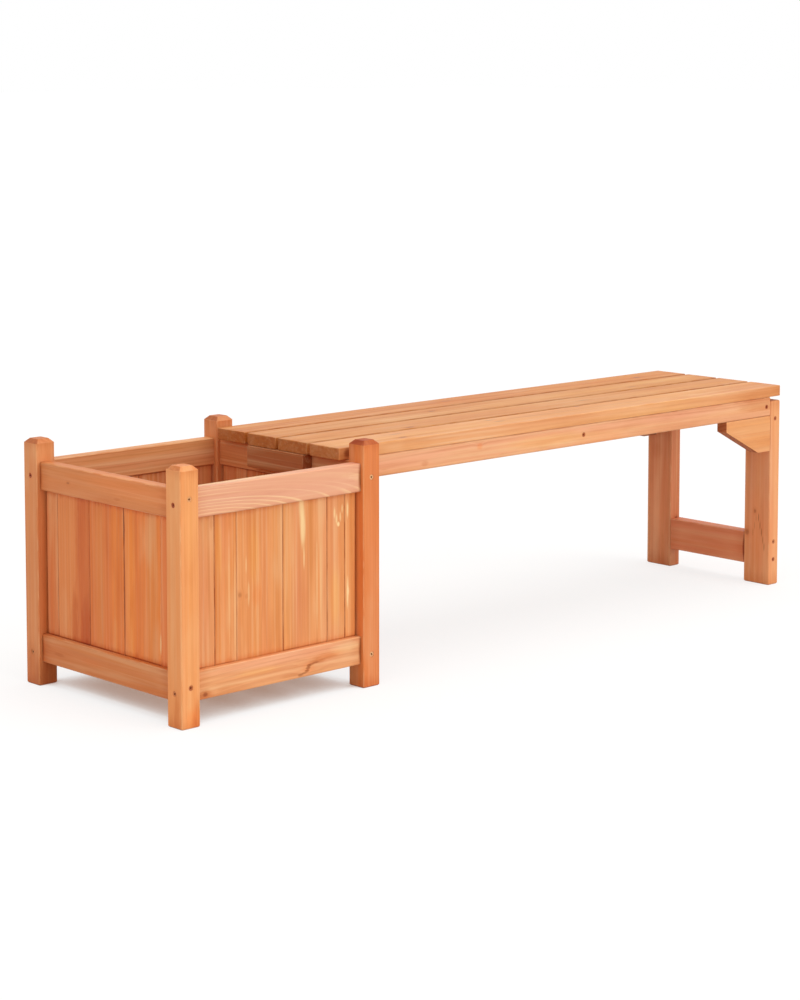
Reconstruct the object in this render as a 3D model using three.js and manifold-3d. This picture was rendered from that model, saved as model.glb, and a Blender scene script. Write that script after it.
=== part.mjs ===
// A timber garden bench. One end of its slatted seat rests on the wall of a square planter box,
// and the other end stands on a frame of two legs.
// Millimetres, +Z up. X runs along the bench with the planter at the low end, and -Y is the front.
// The origin is on the ground, under the middle of the whole object.

import * as THREE from "three";
import { mergeVertices } from "three/addons/utils/BufferGeometryUtils.js";
import Module from "manifold-3d";

const wasm = await Module();
wasm.setup();

// Driving sizes of the whole object
const overallLength = 1475;
const planterWidth = 400;
const seatHeight = 380;

// Fits
const jointGap = 0.3;
const seatPostGap = 13;
const edgeEase = 1.5;
const cutOverrun = 2;

// Planter posts, which rise a little above the seat
const postWidth = 35;
const postRise = 15;
const postCapHeight = 6.5;
const postCapInset = 6.5;

// Planter rails
const planterRailHeight = 45;
const planterRailThickness = 22;
const planterRailSetback = 6;
const planterFootClearance = 38;
const grooveDepth = 8;

// Planter panel boards, with the joints on each side as shares of the width between the posts
const boardThickness = 8;
const boardSetback = 10;
const boardEndGap = 2.5;
const boardVee = 0.8;
const tongueThickness = 2.4;
const tongueDepth = 3.5;
const boardJointShares = {
  front: [0.125, 0.255, 0.534, 0.809, 0.921],
  end: [0.096, 0.35, 0.617, 0.897],
  back: [0.2, 0.47, 0.74],
  bench: [0.26, 0.53, 0.8],
};

// Planter floor
const cleatWidth = 20;
const cleatHeight = 20;
const floorBoardCount = 4;
const floorBoardThickness = 9;
const floorBoardGap = 8;
const floorRimDepth = 9;

// Seat
const slatCount = 4;
const slatThickness = 20;
const slatGap = 7;
const slatLapInside = 16;
const slatEndEase = 3;
const longRailHeight = 35;
const longRailThickness = 22;

// Cross battens under the slats
const battenWidth = 28;
const deepBattenHeight = 40;
const nearBattenOffset = 40;
const middleBattenShare = 0.507;
const hookBattenLength = 140;
const hookBattenWidth = 20;
const hookBattenHeight = 35;

// Leg frame
const legWidth = 60;
const legThickness = 28;
const legTopGap = 8;
const stretcherHeight = 60;
const stretcherFootClearance = 35;
const topBarHeight = 40;
const topBarDrop = 14;

// Brackets between the legs and the long rails
const bracketLength = 130;
const bracketHeight = 67;
const bracketTipHeight = 19;
const bracketFootLength = 36;

// Countersunk screws
const screwHeadRadius = 4;
const screwHeadDepth = 2.6;
const screwShankRadius = 2;
const screwPointLength = 5;
const screwSink = 0.6;
const screwBite = 30;
const screwStagger = 4.5;
const topScrewRise = 4;
const bottomScrewDrop = 3.5;
const screwHoleGap = 0.3;
const screwSlotLength = 5;
const screwSlotWidth = 1;
const screwSlotDepth = 1.4;
const stretcherScrewSpread = 17;
const railEndScrewInset = 12;
const roundSides = 12;

// Sizes that follow from the driving ones
const seatUnderside = seatHeight - slatThickness;
const supportTop = seatUnderside - jointGap;
const objectLowX = -overallLength / 2;
const objectHighX = overallLength / 2;
const planterMiddleX = objectLowX + planterWidth / 2;
const planterHalf = planterWidth / 2;
const postHeight = seatHeight + postRise;
const postInset = planterHalf - postWidth / 2;
const openingWidth = planterWidth - 2 * postWidth;
const seatWidth = openingWidth - 2 * seatPostGap;
const planterWallOuterX = planterMiddleX + planterHalf - planterRailSetback;
const planterWallInnerX = planterWallOuterX - planterRailThickness;
const topRailBottom = supportTop - planterRailHeight;
const bottomRailTop = planterFootClearance + planterRailHeight;
const seatFrontY = -seatWidth / 2;
const slatLowX = planterWallInnerX - slatLapInside;
const slatWidth = (seatWidth - (slatCount - 1) * slatGap) / slatCount;
const legInnerX = objectHighX - legThickness;
const legTop = seatUnderside - legTopGap;
const longRailBottom = supportTop - longRailHeight;
const longRailLowX = planterWallOuterX + jointGap;
const longRailHighX = legInnerX - jointGap;
const bracketLowX = longRailHighX - bracketLength;
const middleBattenX = THREE.MathUtils.lerp(planterWallOuterX, legInnerX, middleBattenShare);

// Materials
function timber(color) {
  return new THREE.MeshStandardMaterial({ color, roughness: 0.62, metalness: 0 });
}

const postTimber = () => timber("#d98a55");
const railTimber = () => timber("#dc9068");
const seatTimber = () => timber("#e6a674");
const legTimber = () => timber("#d98e62");
const hiddenTimber = () => timber("#b9794c");
const boardTimbers = ["#d6854d", "#dd9055", "#cf7d49", "#e09a62"].map((color) => () => timber(color));

function screwSteel() {
  return new THREE.MeshStandardMaterial({ color: "#b9b3a6", roughness: 0.35, metalness: 1 });
}

// Solids: from a three.js geometry to a manifold and back, for the cuts
function toSolid(geometry) {
  const bare = new THREE.BufferGeometry();
  bare.setAttribute("position", geometry.getAttribute("position").clone());
  if (geometry.index) bare.setIndex(geometry.index.clone());
  const merged = mergeVertices(bare);
  return new wasm.Manifold(
    new wasm.Mesh({
      numProp: 3,
      vertProperties: new Float32Array(merged.getAttribute("position").array),
      triVerts: new Uint32Array(merged.index.array),
    }),
  );
}

function toGeometry(solid) {
  const mesh = solid.getMesh();
  const geometry = new THREE.BufferGeometry();
  geometry.setAttribute("position", new THREE.BufferAttribute(mesh.vertProperties, 3));
  geometry.setIndex(new THREE.BufferAttribute(mesh.triVerts, 1));
  return finish(geometry);
}

function finish(geometry) {
  const flat = geometry.index ? geometry.toNonIndexed() : geometry;
  flat.computeVertexNormals();
  return flat;
}

function cut(geometry, cutters) {
  let solid = toSolid(geometry);
  for (const cutter of cutters) solid = solid.subtract(toSolid(cutter));
  return toGeometry(solid);
}

// A rectangle with eased corners, as points in order round its edge
function easedRectangle(halfX, halfY, ease) {
  return [
    [halfX - ease, -halfY],
    [halfX, -halfY + ease],
    [halfX, halfY - ease],
    [halfX - ease, halfY],
    [-halfX + ease, halfY],
    [-halfX, halfY - ease],
    [-halfX, -halfY + ease],
    [-halfX + ease, -halfY],
  ];
}

// A closed solid through a stack of outlines that all have as many points
function stack(layers) {
  const count = layers[0].outline.length;
  const points = layers.flatMap(({ z, outline }) => outline.map(([x, y]) => [x, y, z]));
  const faces = [];
  for (let level = 0; level + 1 < layers.length; level++) {
    for (let i = 0; i < count; i++) {
      const low = level * count;
      const next = (i + 1) % count;
      faces.push([low + i, low + next, low + count + next]);
      faces.push([low + i, low + count + next, low + count + i]);
    }
  }
  const top = (layers.length - 1) * count;
  for (let i = 1; i + 1 < count; i++) {
    faces.push([0, i + 1, i]);
    faces.push([top, top + i, top + i + 1]);
  }
  const geometry = new THREE.BufferGeometry();
  geometry.setAttribute("position", new THREE.Float32BufferAttribute(points.flat(), 3));
  geometry.setIndex(faces.flat());
  return finish(geometry);
}

// A bar of timber with all its edges eased, standing on z = 0 and centred on x and y
function uprightBar(sizeX, sizeY, length, endEase = edgeEase) {
  const full = easedRectangle(sizeX / 2, sizeY / 2, edgeEase);
  const drawnIn = easedRectangle(sizeX / 2 - endEase, sizeY / 2 - endEase, edgeEase);
  return stack([
    { z: 0, outline: drawnIn },
    { z: endEase, outline: full },
    { z: length - endEase, outline: full },
    { z: length, outline: drawnIn },
  ]);
}

// The same bar as a box between two corners, with its length along the named axis
function bar(axis, low, high, endEase = edgeEase) {
  const size = new THREE.Vector3().subVectors(high, low);
  const middle = new THREE.Vector3().addVectors(low, high).multiplyScalar(0.5);
  const sections = { x: [size.z, size.y], y: [size.x, size.z], z: [size.x, size.y] };
  const geometry = uprightBar(...sections[axis], size[axis], endEase);
  geometry.translate(0, 0, -size[axis] / 2);
  if (axis === "x") geometry.rotateY(Math.PI / 2);
  if (axis === "y") geometry.rotateX(-Math.PI / 2);
  return geometry.translate(middle.x, middle.y, middle.z);
}

// An outline pulled along +Z from z = 0
function extrude(points, length) {
  const shape = new THREE.Shape(points.map(([x, y]) => new THREE.Vector2(x, y)));
  return new THREE.ExtrudeGeometry(shape, { depth: length, bevelEnabled: false });
}

// Screws and their holes, drawn along +Z with the wood's face at z = 0
function turned(profile) {
  const points = profile.map(([radius, z]) => new THREE.Vector2(radius, z));
  return new THREE.LatheGeometry(points, roundSides).rotateX(Math.PI / 2);
}

function screwShape(length) {
  const body = turned([
    [0, screwSink],
    [screwHeadRadius, screwSink],
    [screwShankRadius, screwSink + screwHeadDepth],
    [screwShankRadius, length - screwPointLength],
    [0, length],
  ]);
  const slotHeight = screwSlotDepth + cutOverrun;
  const slotMiddle = screwSink + screwSlotDepth - slotHeight / 2;
  const slots = [
    new THREE.BoxGeometry(screwSlotLength, screwSlotWidth, slotHeight),
    new THREE.BoxGeometry(screwSlotWidth, screwSlotLength, slotHeight),
  ];
  return cut(body, slots.map((slot) => slot.translate(0, 0, slotMiddle)));
}

function holeShape(length) {
  const mouthRadius = screwHeadRadius + screwHoleGap;
  const shankRadius = screwShankRadius + screwHoleGap;
  const coneEnd = screwSink + screwHeadDepth;
  return turned([
    [0, -cutOverrun],
    [mouthRadius, -cutOverrun],
    [mouthRadius, screwSink],
    [shankRadius, coneEnd],
    [shankRadius, length + screwHoleGap],
    [0, length + screwHoleGap],
  ]);
}

// Turns a shape drawn along +Z to point along a direction and puts its start at a place
function aim(geometry, place, direction) {
  const turn = new THREE.Quaternion().setFromUnitVectors(new THREE.Vector3(0, 0, 1), direction);
  return geometry.applyQuaternion(turn).translate(place.x, place.y, place.z);
}

const bench = new THREE.Group();

function add(parent, name, geometry, material) {
  const mesh = new THREE.Mesh(geometry, material);
  mesh.name = name;
  parent.add(mesh);
  return mesh;
}

// Planter posts: square timber with a chamfered cap, drilled for the screws that hold the rails
const topRailMiddle = supportTop - planterRailHeight / 2;
const bottomRailMiddle = planterFootClearance + planterRailHeight / 2;
const topScrewLine = topRailMiddle + topScrewRise;
const bottomScrewLine = bottomRailMiddle - bottomScrewDrop;
const postScrewLength = postWidth + screwBite;

function post(sideX, sideY) {
  const half = postWidth / 2;
  const full = easedRectangle(half, half, edgeEase);
  const body = stack([
    { z: 0, outline: easedRectangle(half - edgeEase, half - edgeEase, edgeEase) },
    { z: edgeEase, outline: full },
    { z: postHeight - postCapHeight, outline: full },
    { z: postHeight, outline: easedRectangle(half - postCapInset, half - postCapInset, edgeEase) },
  ]);
  const lift = sideX * screwStagger;
  const holes = [topScrewLine, bottomScrewLine].flatMap((z) => [
    aim(
      holeShape(postScrewLength),
      new THREE.Vector3(sideX * half, 0, z + lift),
      new THREE.Vector3(-sideX, 0, 0),
    ),
    aim(
      holeShape(postScrewLength),
      new THREE.Vector3(0, sideY * half, z - lift),
      new THREE.Vector3(0, -sideY, 0),
    ),
  ]);
  return cut(body, holes);
}

function addPosts(parent) {
  for (const [sideName, sideX] of [["end", -1], ["bench", 1]]) {
    for (const [faceName, sideY] of [["front", -1], ["back", 1]]) {
      const mesh = add(parent, `planter_post_${faceName}_${sideName}`, post(sideX, sideY), postTimber());
      mesh.position.set(sideX * postInset, sideY * postInset, 0);
    }
  }
}

// Planter rails, drawn along +Z in their section: x is the thickness, y the height.
// The groove in one edge holds the boards' ends.
const grooveWidth = boardThickness + 2 * jointGap;

function railSection(grooveSide) {
  const halfT = planterRailThickness / 2;
  const halfH = (planterRailHeight / 2) * grooveSide;
  const ease = edgeEase * grooveSide;
  const grooveFloor = halfH - grooveDepth * grooveSide;
  const grooveLow = -halfT + boardSetback - jointGap;
  const grooveHigh = grooveLow + grooveWidth;
  return [
    [-halfT + edgeEase, -halfH],
    [halfT - edgeEase, -halfH],
    [halfT, -halfH + ease],
    [halfT, halfH - ease],
    [halfT - edgeEase, halfH],
    [grooveHigh, halfH],
    [grooveHigh, grooveFloor],
    [grooveLow, grooveFloor],
    [grooveLow, halfH],
    [-halfT + edgeEase, halfH],
    [-halfT, halfH - ease],
    [-halfT, -halfH + ease],
  ];
}

// A side of the planter is drawn as the front one, with its outside towards -Y.
// The screws through a post's two faces pass above and below each other, so each rail's
// ends have their screws a stagger up or down, from its left end to its right.
const railMiddleY = -planterHalf + planterRailSetback + planterRailThickness / 2;
const railLength = openingWidth - 2 * jointGap;
const screwLiftShares = { front: [-1, 1], bench: [-1, -1], back: [1, -1], end: [1, 1] };

function planterRail(grooveSide, middleZ, screwLine, liftShares) {
  const rail = extrude(railSection(grooveSide), railLength);
  rail.translate(0, 0, -railLength / 2);
  rail.applyMatrix4(new THREE.Matrix4().makeBasis(
    new THREE.Vector3(0, 1, 0),
    new THREE.Vector3(0, 0, 1),
    new THREE.Vector3(1, 0, 0),
  ));
  rail.translate(0, railMiddleY, middleZ);
  const holes = [-1, 1].map((side, i) =>
    aim(
      holeShape(postScrewLength),
      new THREE.Vector3(side * planterHalf, -postInset, screwLine + liftShares[i] * screwStagger),
      new THREE.Vector3(-side, 0, 0),
    ),
  );
  return cut(rail, holes);
}

// A board's section: x is its width, y its thickness with the outside at y = 0
function boardSection(width, hasTongue, hasGroove) {
  const middle = boardThickness / 2;
  const tongueHalf = tongueThickness / 2;
  const slotHalf = tongueHalf + jointGap;
  const slotDepth = tongueDepth + jointGap;
  const tongue = [
    [width, middle - tongueHalf],
    [width + tongueDepth, middle - tongueHalf],
    [width + tongueDepth, middle + tongueHalf],
    [width, middle + tongueHalf],
  ];
  const slot = [
    [0, middle + slotHalf],
    [slotDepth, middle + slotHalf],
    [slotDepth, middle - slotHalf],
    [0, middle - slotHalf],
  ];
  return [
    [boardVee, 0],
    [width - boardVee, 0],
    [width, boardVee],
    ...(hasTongue ? tongue : []),
    [width, boardThickness],
    [0, boardThickness],
    ...(hasGroove ? slot : []),
    [0, boardVee],
  ];
}

function planterBoards(jointShares) {
  const faceY = -planterHalf + planterRailSetback + boardSetback;
  const lowZ = bottomRailTop - grooveDepth + jointGap;
  const highZ = topRailBottom + grooveDepth - jointGap;
  const edges = [0, ...jointShares, 1].map((share) => openingWidth * (share - 0.5));
  return edges.slice(1).map((edge, i) => {
    const isFirst = i === 0;
    const isLast = i === jointShares.length;
    const lowX = edges[i] + (isFirst ? boardEndGap : jointGap / 2);
    const highX = edge - (isLast ? boardEndGap : jointGap / 2);
    const board = extrude(boardSection(highX - lowX, !isLast, !isFirst), highZ - lowZ);
    return finish(board.translate(lowX, faceY, lowZ));
  });
}

function addPlanterSide(parent, name, turns) {
  const side = new THREE.Group();
  side.rotation.z = (turns * Math.PI) / 2;
  parent.add(side);
  const liftShares = screwLiftShares[name];
  const topRail = planterRail(-1, topRailMiddle, topScrewLine, liftShares);
  const bottomRail = planterRail(1, bottomRailMiddle, bottomScrewLine, liftShares);
  add(side, `planter_top_rail_${name}`, topRail, railTimber());
  add(side, `planter_bottom_rail_${name}`, bottomRail, railTimber());
  planterBoards(boardJointShares[name]).forEach((board, i) => {
    const material = boardTimbers[(i + turns) % boardTimbers.length]();
    add(side, `planter_board_${name}_${i + 1}`, board, material);
  });
}

// Planter floor: two cleats along the front and back rails carry boards with drainage gaps
function addFloor(parent) {
  const innerY = planterHalf - planterRailSetback - planterRailThickness - jointGap;
  const halfSpan = openingWidth / 2 - jointGap;
  const floorTop = bottomRailTop - floorRimDepth;
  const cleatTop = floorTop - floorBoardThickness - jointGap;
  for (const [name, side] of [["front", -1], ["back", 1]]) {
    const edges = [side * innerY, side * (innerY - cleatWidth)];
    const low = new THREE.Vector3(-halfSpan, Math.min(...edges), cleatTop - cleatHeight);
    const high = new THREE.Vector3(halfSpan, Math.max(...edges), cleatTop);
    add(parent, `planter_floor_cleat_${name}`, bar("x", low, high), hiddenTimber());
  }
  const gaps = (floorBoardCount - 1) * floorBoardGap;
  const width = (2 * halfSpan - gaps) / floorBoardCount;
  for (let i = 0; i < floorBoardCount; i++) {
    const lowX = -halfSpan + i * (width + floorBoardGap);
    const low = new THREE.Vector3(lowX, -innerY, floorTop - floorBoardThickness);
    const high = new THREE.Vector3(lowX + width, innerY, floorTop);
    add(parent, `planter_floor_board_${i + 1}`, bar("y", low, high), hiddenTimber());
  }
}

function addPlanter(parent) {
  const planter = new THREE.Group();
  planter.position.x = planterMiddleX;
  parent.add(planter);
  addPosts(planter);
  addPlanterSide(planter, "front", 0);
  addPlanterSide(planter, "bench", 1);
  addPlanterSide(planter, "back", 2);
  addPlanterSide(planter, "end", 3);
  addFloor(planter);
}

// Seat slats: they lap over the planter's wall at one end and over the legs at the other
function addSlats(parent) {
  for (let i = 0; i < slatCount; i++) {
    const lowY = seatFrontY + i * (slatWidth + slatGap);
    const low = new THREE.Vector3(slatLowX, lowY, seatUnderside);
    const high = new THREE.Vector3(objectHighX, lowY + slatWidth, seatHeight);
    add(parent, `seat_slat_${i + 1}`, bar("x", low, high, slatEndEase), seatTimber());
  }
}

// Screws that come in from the front and back: the same places drill the wood and carry the screws
const legScrewX = legInnerX + legThickness / 2;
const stretcherMiddle = stretcherFootClearance + stretcherHeight / 2;
const legTopScrewZ = legTop - topBarDrop - topBarHeight / 2;
const longRailMiddle = supportTop - longRailHeight / 2;
const legScrewLength = legWidth + screwBite;
const railScrewLength = longRailThickness + screwBite;

const legScrews = [
  { name: "screw_leg_top", x: legScrewX, z: legTopScrewZ },
  { name: "screw_leg_upper", x: legScrewX, z: stretcherMiddle + stretcherScrewSpread },
  { name: "screw_leg_lower", x: legScrewX, z: stretcherMiddle - stretcherScrewSpread },
];
const railScrews = [
  { name: "screw_rail_middle", x: middleBattenX, z: longRailMiddle },
  { name: "screw_rail_end", x: longRailHighX - railEndScrewInset, z: longRailMiddle },
];

function sideHoles(spots, side, length) {
  return spots.map(({ x, z }) =>
    aim(
      holeShape(length),
      new THREE.Vector3(x, side * (seatWidth / 2), z),
      new THREE.Vector3(0, -side, 0),
    ),
  );
}

function bothSideHoles(spots, length) {
  return [-1, 1].flatMap((side) => sideHoles(spots, side, length));
}

// The box of a piece that lies along one long edge of the seat, from its outer face inwards
function alongSide(side, thickness, lowX, highX, lowZ, highZ) {
  const edges = [side * (seatWidth / 2), side * (seatWidth / 2 - thickness)];
  return [
    new THREE.Vector3(lowX, Math.min(...edges), lowZ),
    new THREE.Vector3(highX, Math.max(...edges), highZ),
  ];
}

// Long rails under the front and back slats
function longRail(side) {
  const box = alongSide(side, longRailThickness, longRailLowX, longRailHighX, longRailBottom, supportTop);
  return cut(bar("x", ...box), sideHoles(railScrews, side, railScrewLength));
}

// A leg stands upright with its narrow edge to the front or back
function leg(side) {
  const box = alongSide(side, legWidth, legInnerX, objectHighX, 0, legTop);
  return cut(bar("z", ...box), sideHoles(legScrews, side, legScrewLength));
}

// A bar that runs across the bench between two pieces of the given width
function crossBar(sideWidth, lowX, highX, lowZ, highZ) {
  const reach = seatWidth / 2 - sideWidth - jointGap;
  return bar("y", new THREE.Vector3(lowX, -reach, lowZ), new THREE.Vector3(highX, reach, highZ));
}

// A bracket's outline, seen from the front: x from its tip to the leg, y up to the long rail
function bracketOutline() {
  return [
    [0, 0],
    [0, -bracketTipHeight],
    [bracketLength - bracketFootLength, -bracketHeight],
    [bracketLength, -bracketHeight],
    [bracketLength, 0],
  ];
}

function bracket(side) {
  const shape = extrude(bracketOutline(), longRailThickness);
  shape.rotateX(Math.PI / 2);
  const highY = side < 0 ? seatFrontY + longRailThickness : seatWidth / 2;
  return finish(shape.translate(bracketLowX, highY, longRailBottom - jointGap));
}

// Long rails, legs and brackets, one of each at the front and at the back
function addSidePieces(parent) {
  for (const [name, side] of [["front", -1], ["back", 1]]) {
    add(parent, `seat_rail_${name}`, longRail(side), seatTimber());
    add(parent, `leg_${name}`, leg(side), legTimber());
    add(parent, `bracket_${name}`, bracket(side), legTimber());
  }
}

function addLegFrameBars(parent) {
  const low = stretcherFootClearance;
  const stretcher = crossBar(legWidth, legInnerX, objectHighX, low, low + stretcherHeight);
  const barTop = legTop - topBarDrop;
  const topBar = crossBar(legWidth, legInnerX, objectHighX, barTop - topBarHeight, barTop);
  const holes = () => bothSideHoles(legScrews, legScrewLength);
  add(parent, "leg_stretcher", cut(stretcher, holes()), legTimber());
  add(parent, "leg_top_bar", cut(topBar, holes()), legTimber());
}

// Cross battens hold the slats together. The hook batten drops inside the planter's wall.
function addBattens(parent) {
  const deepBottom = supportTop - deepBattenHeight;
  const battens = [
    ["near", planterWallOuterX + nearBattenOffset, longRailBottom],
    ["middle", middleBattenX - battenWidth / 2, longRailBottom],
    ["bracket", bracketLowX - jointGap - battenWidth, deepBottom],
    ["leg", longRailHighX - battenWidth, deepBottom],
  ];
  for (const [name, lowX, lowZ] of battens) {
    const shape = crossBar(longRailThickness, lowX, lowX + battenWidth, lowZ, supportTop);
    const drilled = cut(shape, bothSideHoles(railScrews, railScrewLength));
    add(parent, `batten_${name}`, drilled, hiddenTimber());
  }
  const hookHighX = planterWallInnerX - jointGap;
  const hookHalf = hookBattenLength / 2;
  const low = new THREE.Vector3(hookHighX - hookBattenWidth, -hookHalf, supportTop - hookBattenHeight);
  const high = new THREE.Vector3(hookHighX, hookHalf, supportTop);
  add(parent, "batten_hook", bar("y", low, high), hiddenTimber());
}

// The front screws that show as metal: each lies in its drilled hole
function addScrews(parent) {
  const inwards = new THREE.Vector3(0, 1, 0);
  const put = (name, x, y, z, length) => {
    const geometry = aim(screwShape(length), new THREE.Vector3(x, y, z), inwards);
    add(parent, name, geometry, screwSteel());
  };
  for (const { name, x, z } of legScrews) put(name, x, seatFrontY, z, legScrewLength);
  for (const { name, x, z } of railScrews) put(name, x, seatFrontY, z, railScrewLength);
  const postX = planterMiddleX + postInset;
  put("screw_post_bottom", postX, -planterHalf, bottomScrewLine - screwStagger, postScrewLength);
}

addPlanter(bench);
addSlats(bench);
addSidePieces(bench);
addLegFrameBars(bench);
addBattens(bench);
addScrews(bench);

export default bench;
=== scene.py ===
# %% [markdown]
# # A garden bench with a planter box
# The bench is stained softwood: a square planter at one end, a slatted seat, and a frame of two legs.
# Its timbers already stand at their real sizes in the frame, so this lesson is about how they look:
# rounded arrises, growth rings that run through each piece, knots, a satin stain and small screws.

import math
from collections import namedtuple

import bmesh
import bpy
from mathutils import Euler, Matrix, Vector


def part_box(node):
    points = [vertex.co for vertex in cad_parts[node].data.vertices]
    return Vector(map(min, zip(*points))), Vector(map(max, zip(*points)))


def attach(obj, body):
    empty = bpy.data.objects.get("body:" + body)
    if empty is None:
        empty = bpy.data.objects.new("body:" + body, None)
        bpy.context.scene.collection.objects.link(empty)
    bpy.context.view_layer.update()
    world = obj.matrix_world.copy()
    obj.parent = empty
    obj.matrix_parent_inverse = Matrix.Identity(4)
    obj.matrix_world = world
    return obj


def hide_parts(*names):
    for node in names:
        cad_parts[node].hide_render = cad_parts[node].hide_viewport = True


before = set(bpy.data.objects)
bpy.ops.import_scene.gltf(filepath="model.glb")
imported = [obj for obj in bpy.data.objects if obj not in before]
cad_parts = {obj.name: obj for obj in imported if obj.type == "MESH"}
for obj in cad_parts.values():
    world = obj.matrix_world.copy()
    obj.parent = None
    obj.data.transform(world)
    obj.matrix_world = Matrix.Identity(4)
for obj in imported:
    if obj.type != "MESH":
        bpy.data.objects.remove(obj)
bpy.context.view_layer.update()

# %% [markdown]
# ## The camera
# The photographer stood off the planter's corner, with the camera a metre up and dipped a little. Its
# place and lens were solved from the corners of the posts, legs and seat. The lens's axis meets the
# picture above its middle, at row 300, and the camera's shift stands for that.

# %% Camera
picture_height = 1000
focal_pixels = 2480
axis_row = 300
camera_place = Vector((-2.969, -3.047, 0.9915))
camera_heading = math.radians(43.22)
camera_dip = math.radians(5.53)
sensor_side = 36.0

camera_data = bpy.data.cameras.new("photo_camera")
camera_data.sensor_width = sensor_side
camera_data.lens = focal_pixels / picture_height * sensor_side
camera_data.shift_y = (axis_row - picture_height / 2) / picture_height
camera = bpy.data.objects.new("photo_camera", camera_data)
camera.location = camera_place
camera.rotation_euler = (math.pi / 2 - camera_dip, 0, -camera_heading)
bpy.context.scene.collection.objects.link(camera)
bpy.context.scene.camera = camera
bpy.context.scene.view_settings.view_transform = "Standard"
print("lens", round(camera_data.lens, 1), "mm, shift", round(camera_data.shift_y, 3))

# %% [markdown]
# ## Small helpers for node trees
# Shaders and Geometry Nodes are both trees of nodes. Wiring them one call at a time makes long code,
# so a few short helpers add a node and feed it in one line. A feed is a number or another node's socket.
# A group's inputs are written as a small table: a number or a triple is an input's usual value, and the
# name of a kind of socket stands for an input that is always fed.

# %% Node helpers
FLOAT = "NodeSocketFloat"
INT = "NodeSocketInt"
VECTOR = "NodeSocketVector"
COLOUR = "NodeSocketColor"
GEOMETRY = "NodeSocketGeometry"
MATERIAL = "NodeSocketMaterial"
socket_kinds = {float: FLOAT, int: INT, tuple: VECTOR}


def add_node(tree, kind, feeds=None, **settings):
    """Adds a node with its settings and feeds its inputs, by name or by number."""
    made = tree.nodes.new(kind)
    for name, value in settings.items():
        setattr(made, name, value)
    for key, value in (feeds or {}).items():
        if isinstance(value, bpy.types.NodeSocket):
            tree.links.new(value, made.inputs[key])
        else:
            made.inputs[key].default_value = value
    return made


def calc(tree, operation, *values):
    """One sum on numbers."""
    return add_node(tree, "ShaderNodeMath", dict(enumerate(values)), operation=operation).outputs[0]


def vector_calc(tree, operation, *values):
    """One sum on vectors."""
    made = add_node(tree, "ShaderNodeVectorMath", dict(enumerate(values)), operation=operation)
    return made.outputs["Vector"]


def length_of(tree, vector):
    """How long a vector is."""
    return add_node(tree, "ShaderNodeVectorMath", {0: vector}, operation="LENGTH").outputs["Value"]


def ramp(tree, value, start, end, low=0.0, high=1.0):
    """Eases from low to high while value goes from start to end."""
    feeds = {"Value": value, "From Min": start, "From Max": end, "To Min": low, "To Max": high}
    return add_node(tree, "ShaderNodeMapRange", feeds, interpolation_type="SMOOTHSTEP").outputs[0]


def join_xyz(tree, **sides):
    """A vector from its sides x, y and z. A side that isn't named is zero."""
    feeds = {key.upper(): side for key, side in sides.items()}
    return add_node(tree, "ShaderNodeCombineXYZ", feeds).outputs[0]


def lay_over(tree, share, under, over, kind="MIX"):
    """Lays one colour over another by a share."""
    feeds = {0: share, 6: under, 7: over}
    return add_node(tree, "ShaderNodeMix", feeds, data_type="RGBA", blend_type=kind).outputs[2]


def new_group(name, kind, inputs, outputs):
    """A node group with named sockets. Returns the tree, what it is given and what it gives."""
    tree = bpy.data.node_groups.new(name, kind)
    for socket_name, start in inputs.items():
        socket_type = socket_kinds.get(type(start), start)
        socket = tree.interface.new_socket(socket_name, in_out="INPUT", socket_type=socket_type)
        if socket_type != start:
            socket.default_value = start
    for socket_name, socket_type in outputs.items():
        tree.interface.new_socket(socket_name, in_out="OUTPUT", socket_type=socket_type)
    given = tree.nodes.new("NodeGroupInput").outputs
    gives = tree.nodes.new("NodeGroupOutput").inputs
    print("group", name, "takes", ", ".join(inputs))
    return tree, given, gives


def use_group(tree, group, feeds):
    """Places a shader group in a tree and returns its outputs."""
    return add_node(tree, "ShaderNodeGroup", feeds, node_tree=group).outputs


def new_material(name):
    """An empty node material and its tree."""
    material = bpy.data.materials.new(name)
    material.use_nodes = True
    material.node_tree.nodes.clear()
    return material, material.node_tree


def attribute(tree, name):
    """A number that is stored on the mesh."""
    return add_node(tree, "ShaderNodeAttribute", attribute_name=name).outputs["Fac"]


def colour(code):
    """A colour as painters write it, #rrggbb, in the linear light that shaders want."""
    parts = [int(code[i:i + 2], 16) / 255 for i in (1, 3, 5)]
    return tuple(p / 12.92 if p <= 0.04045 else ((p + 0.055) / 1.055) ** 2.4 for p in parts) + (1.0,)


# %% [markdown]
# ## Floor, backdrop and light
# A photo studio is a white sweep with big soft lamps. One hangs overhead, so the shadow lies right
# under the bench. One stands in front, and a weaker one at the planter's end, which keeps the end a
# little darker than the front. An even sky does the rest. The lamps stay at a plain level, so that a
# stain renders as it was mixed.
# What the camera sees of the floor is lifted to white, and only its shadows stay. The close ones come
# from an Ambient Occlusion node: it measures how much of the air just over a spot is free.
# Seen from below, the floor lets the view through, so that the underside can be seen.

# %% Floor and sky
floor_reach = 60.0
floor_drop = 0.0002
sky_strength = 0.5
floor_paint = colour("#dedcda")
floor_paint_seen = colour("#8c8a88")
floor_lift = 0.76
contact_reach = 0.30
contact_shade = colour("#b08c78")
contact_full = 0.02
contact_gone = 0.38
white = (1.0, 1.0, 1.0, 1.0)


def seen_directly(tree):
    """1 for the camera's own rays and for what shows in a gloss, and 0 for the light on the object."""
    path = add_node(tree, "ShaderNodeLightPath").outputs
    seen = calc(tree, "MAXIMUM", path["Is Camera Ray"], path["Is Glossy Ray"])
    return calc(tree, "MAXIMUM", seen, path["Is Transmission Ray"])


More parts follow.
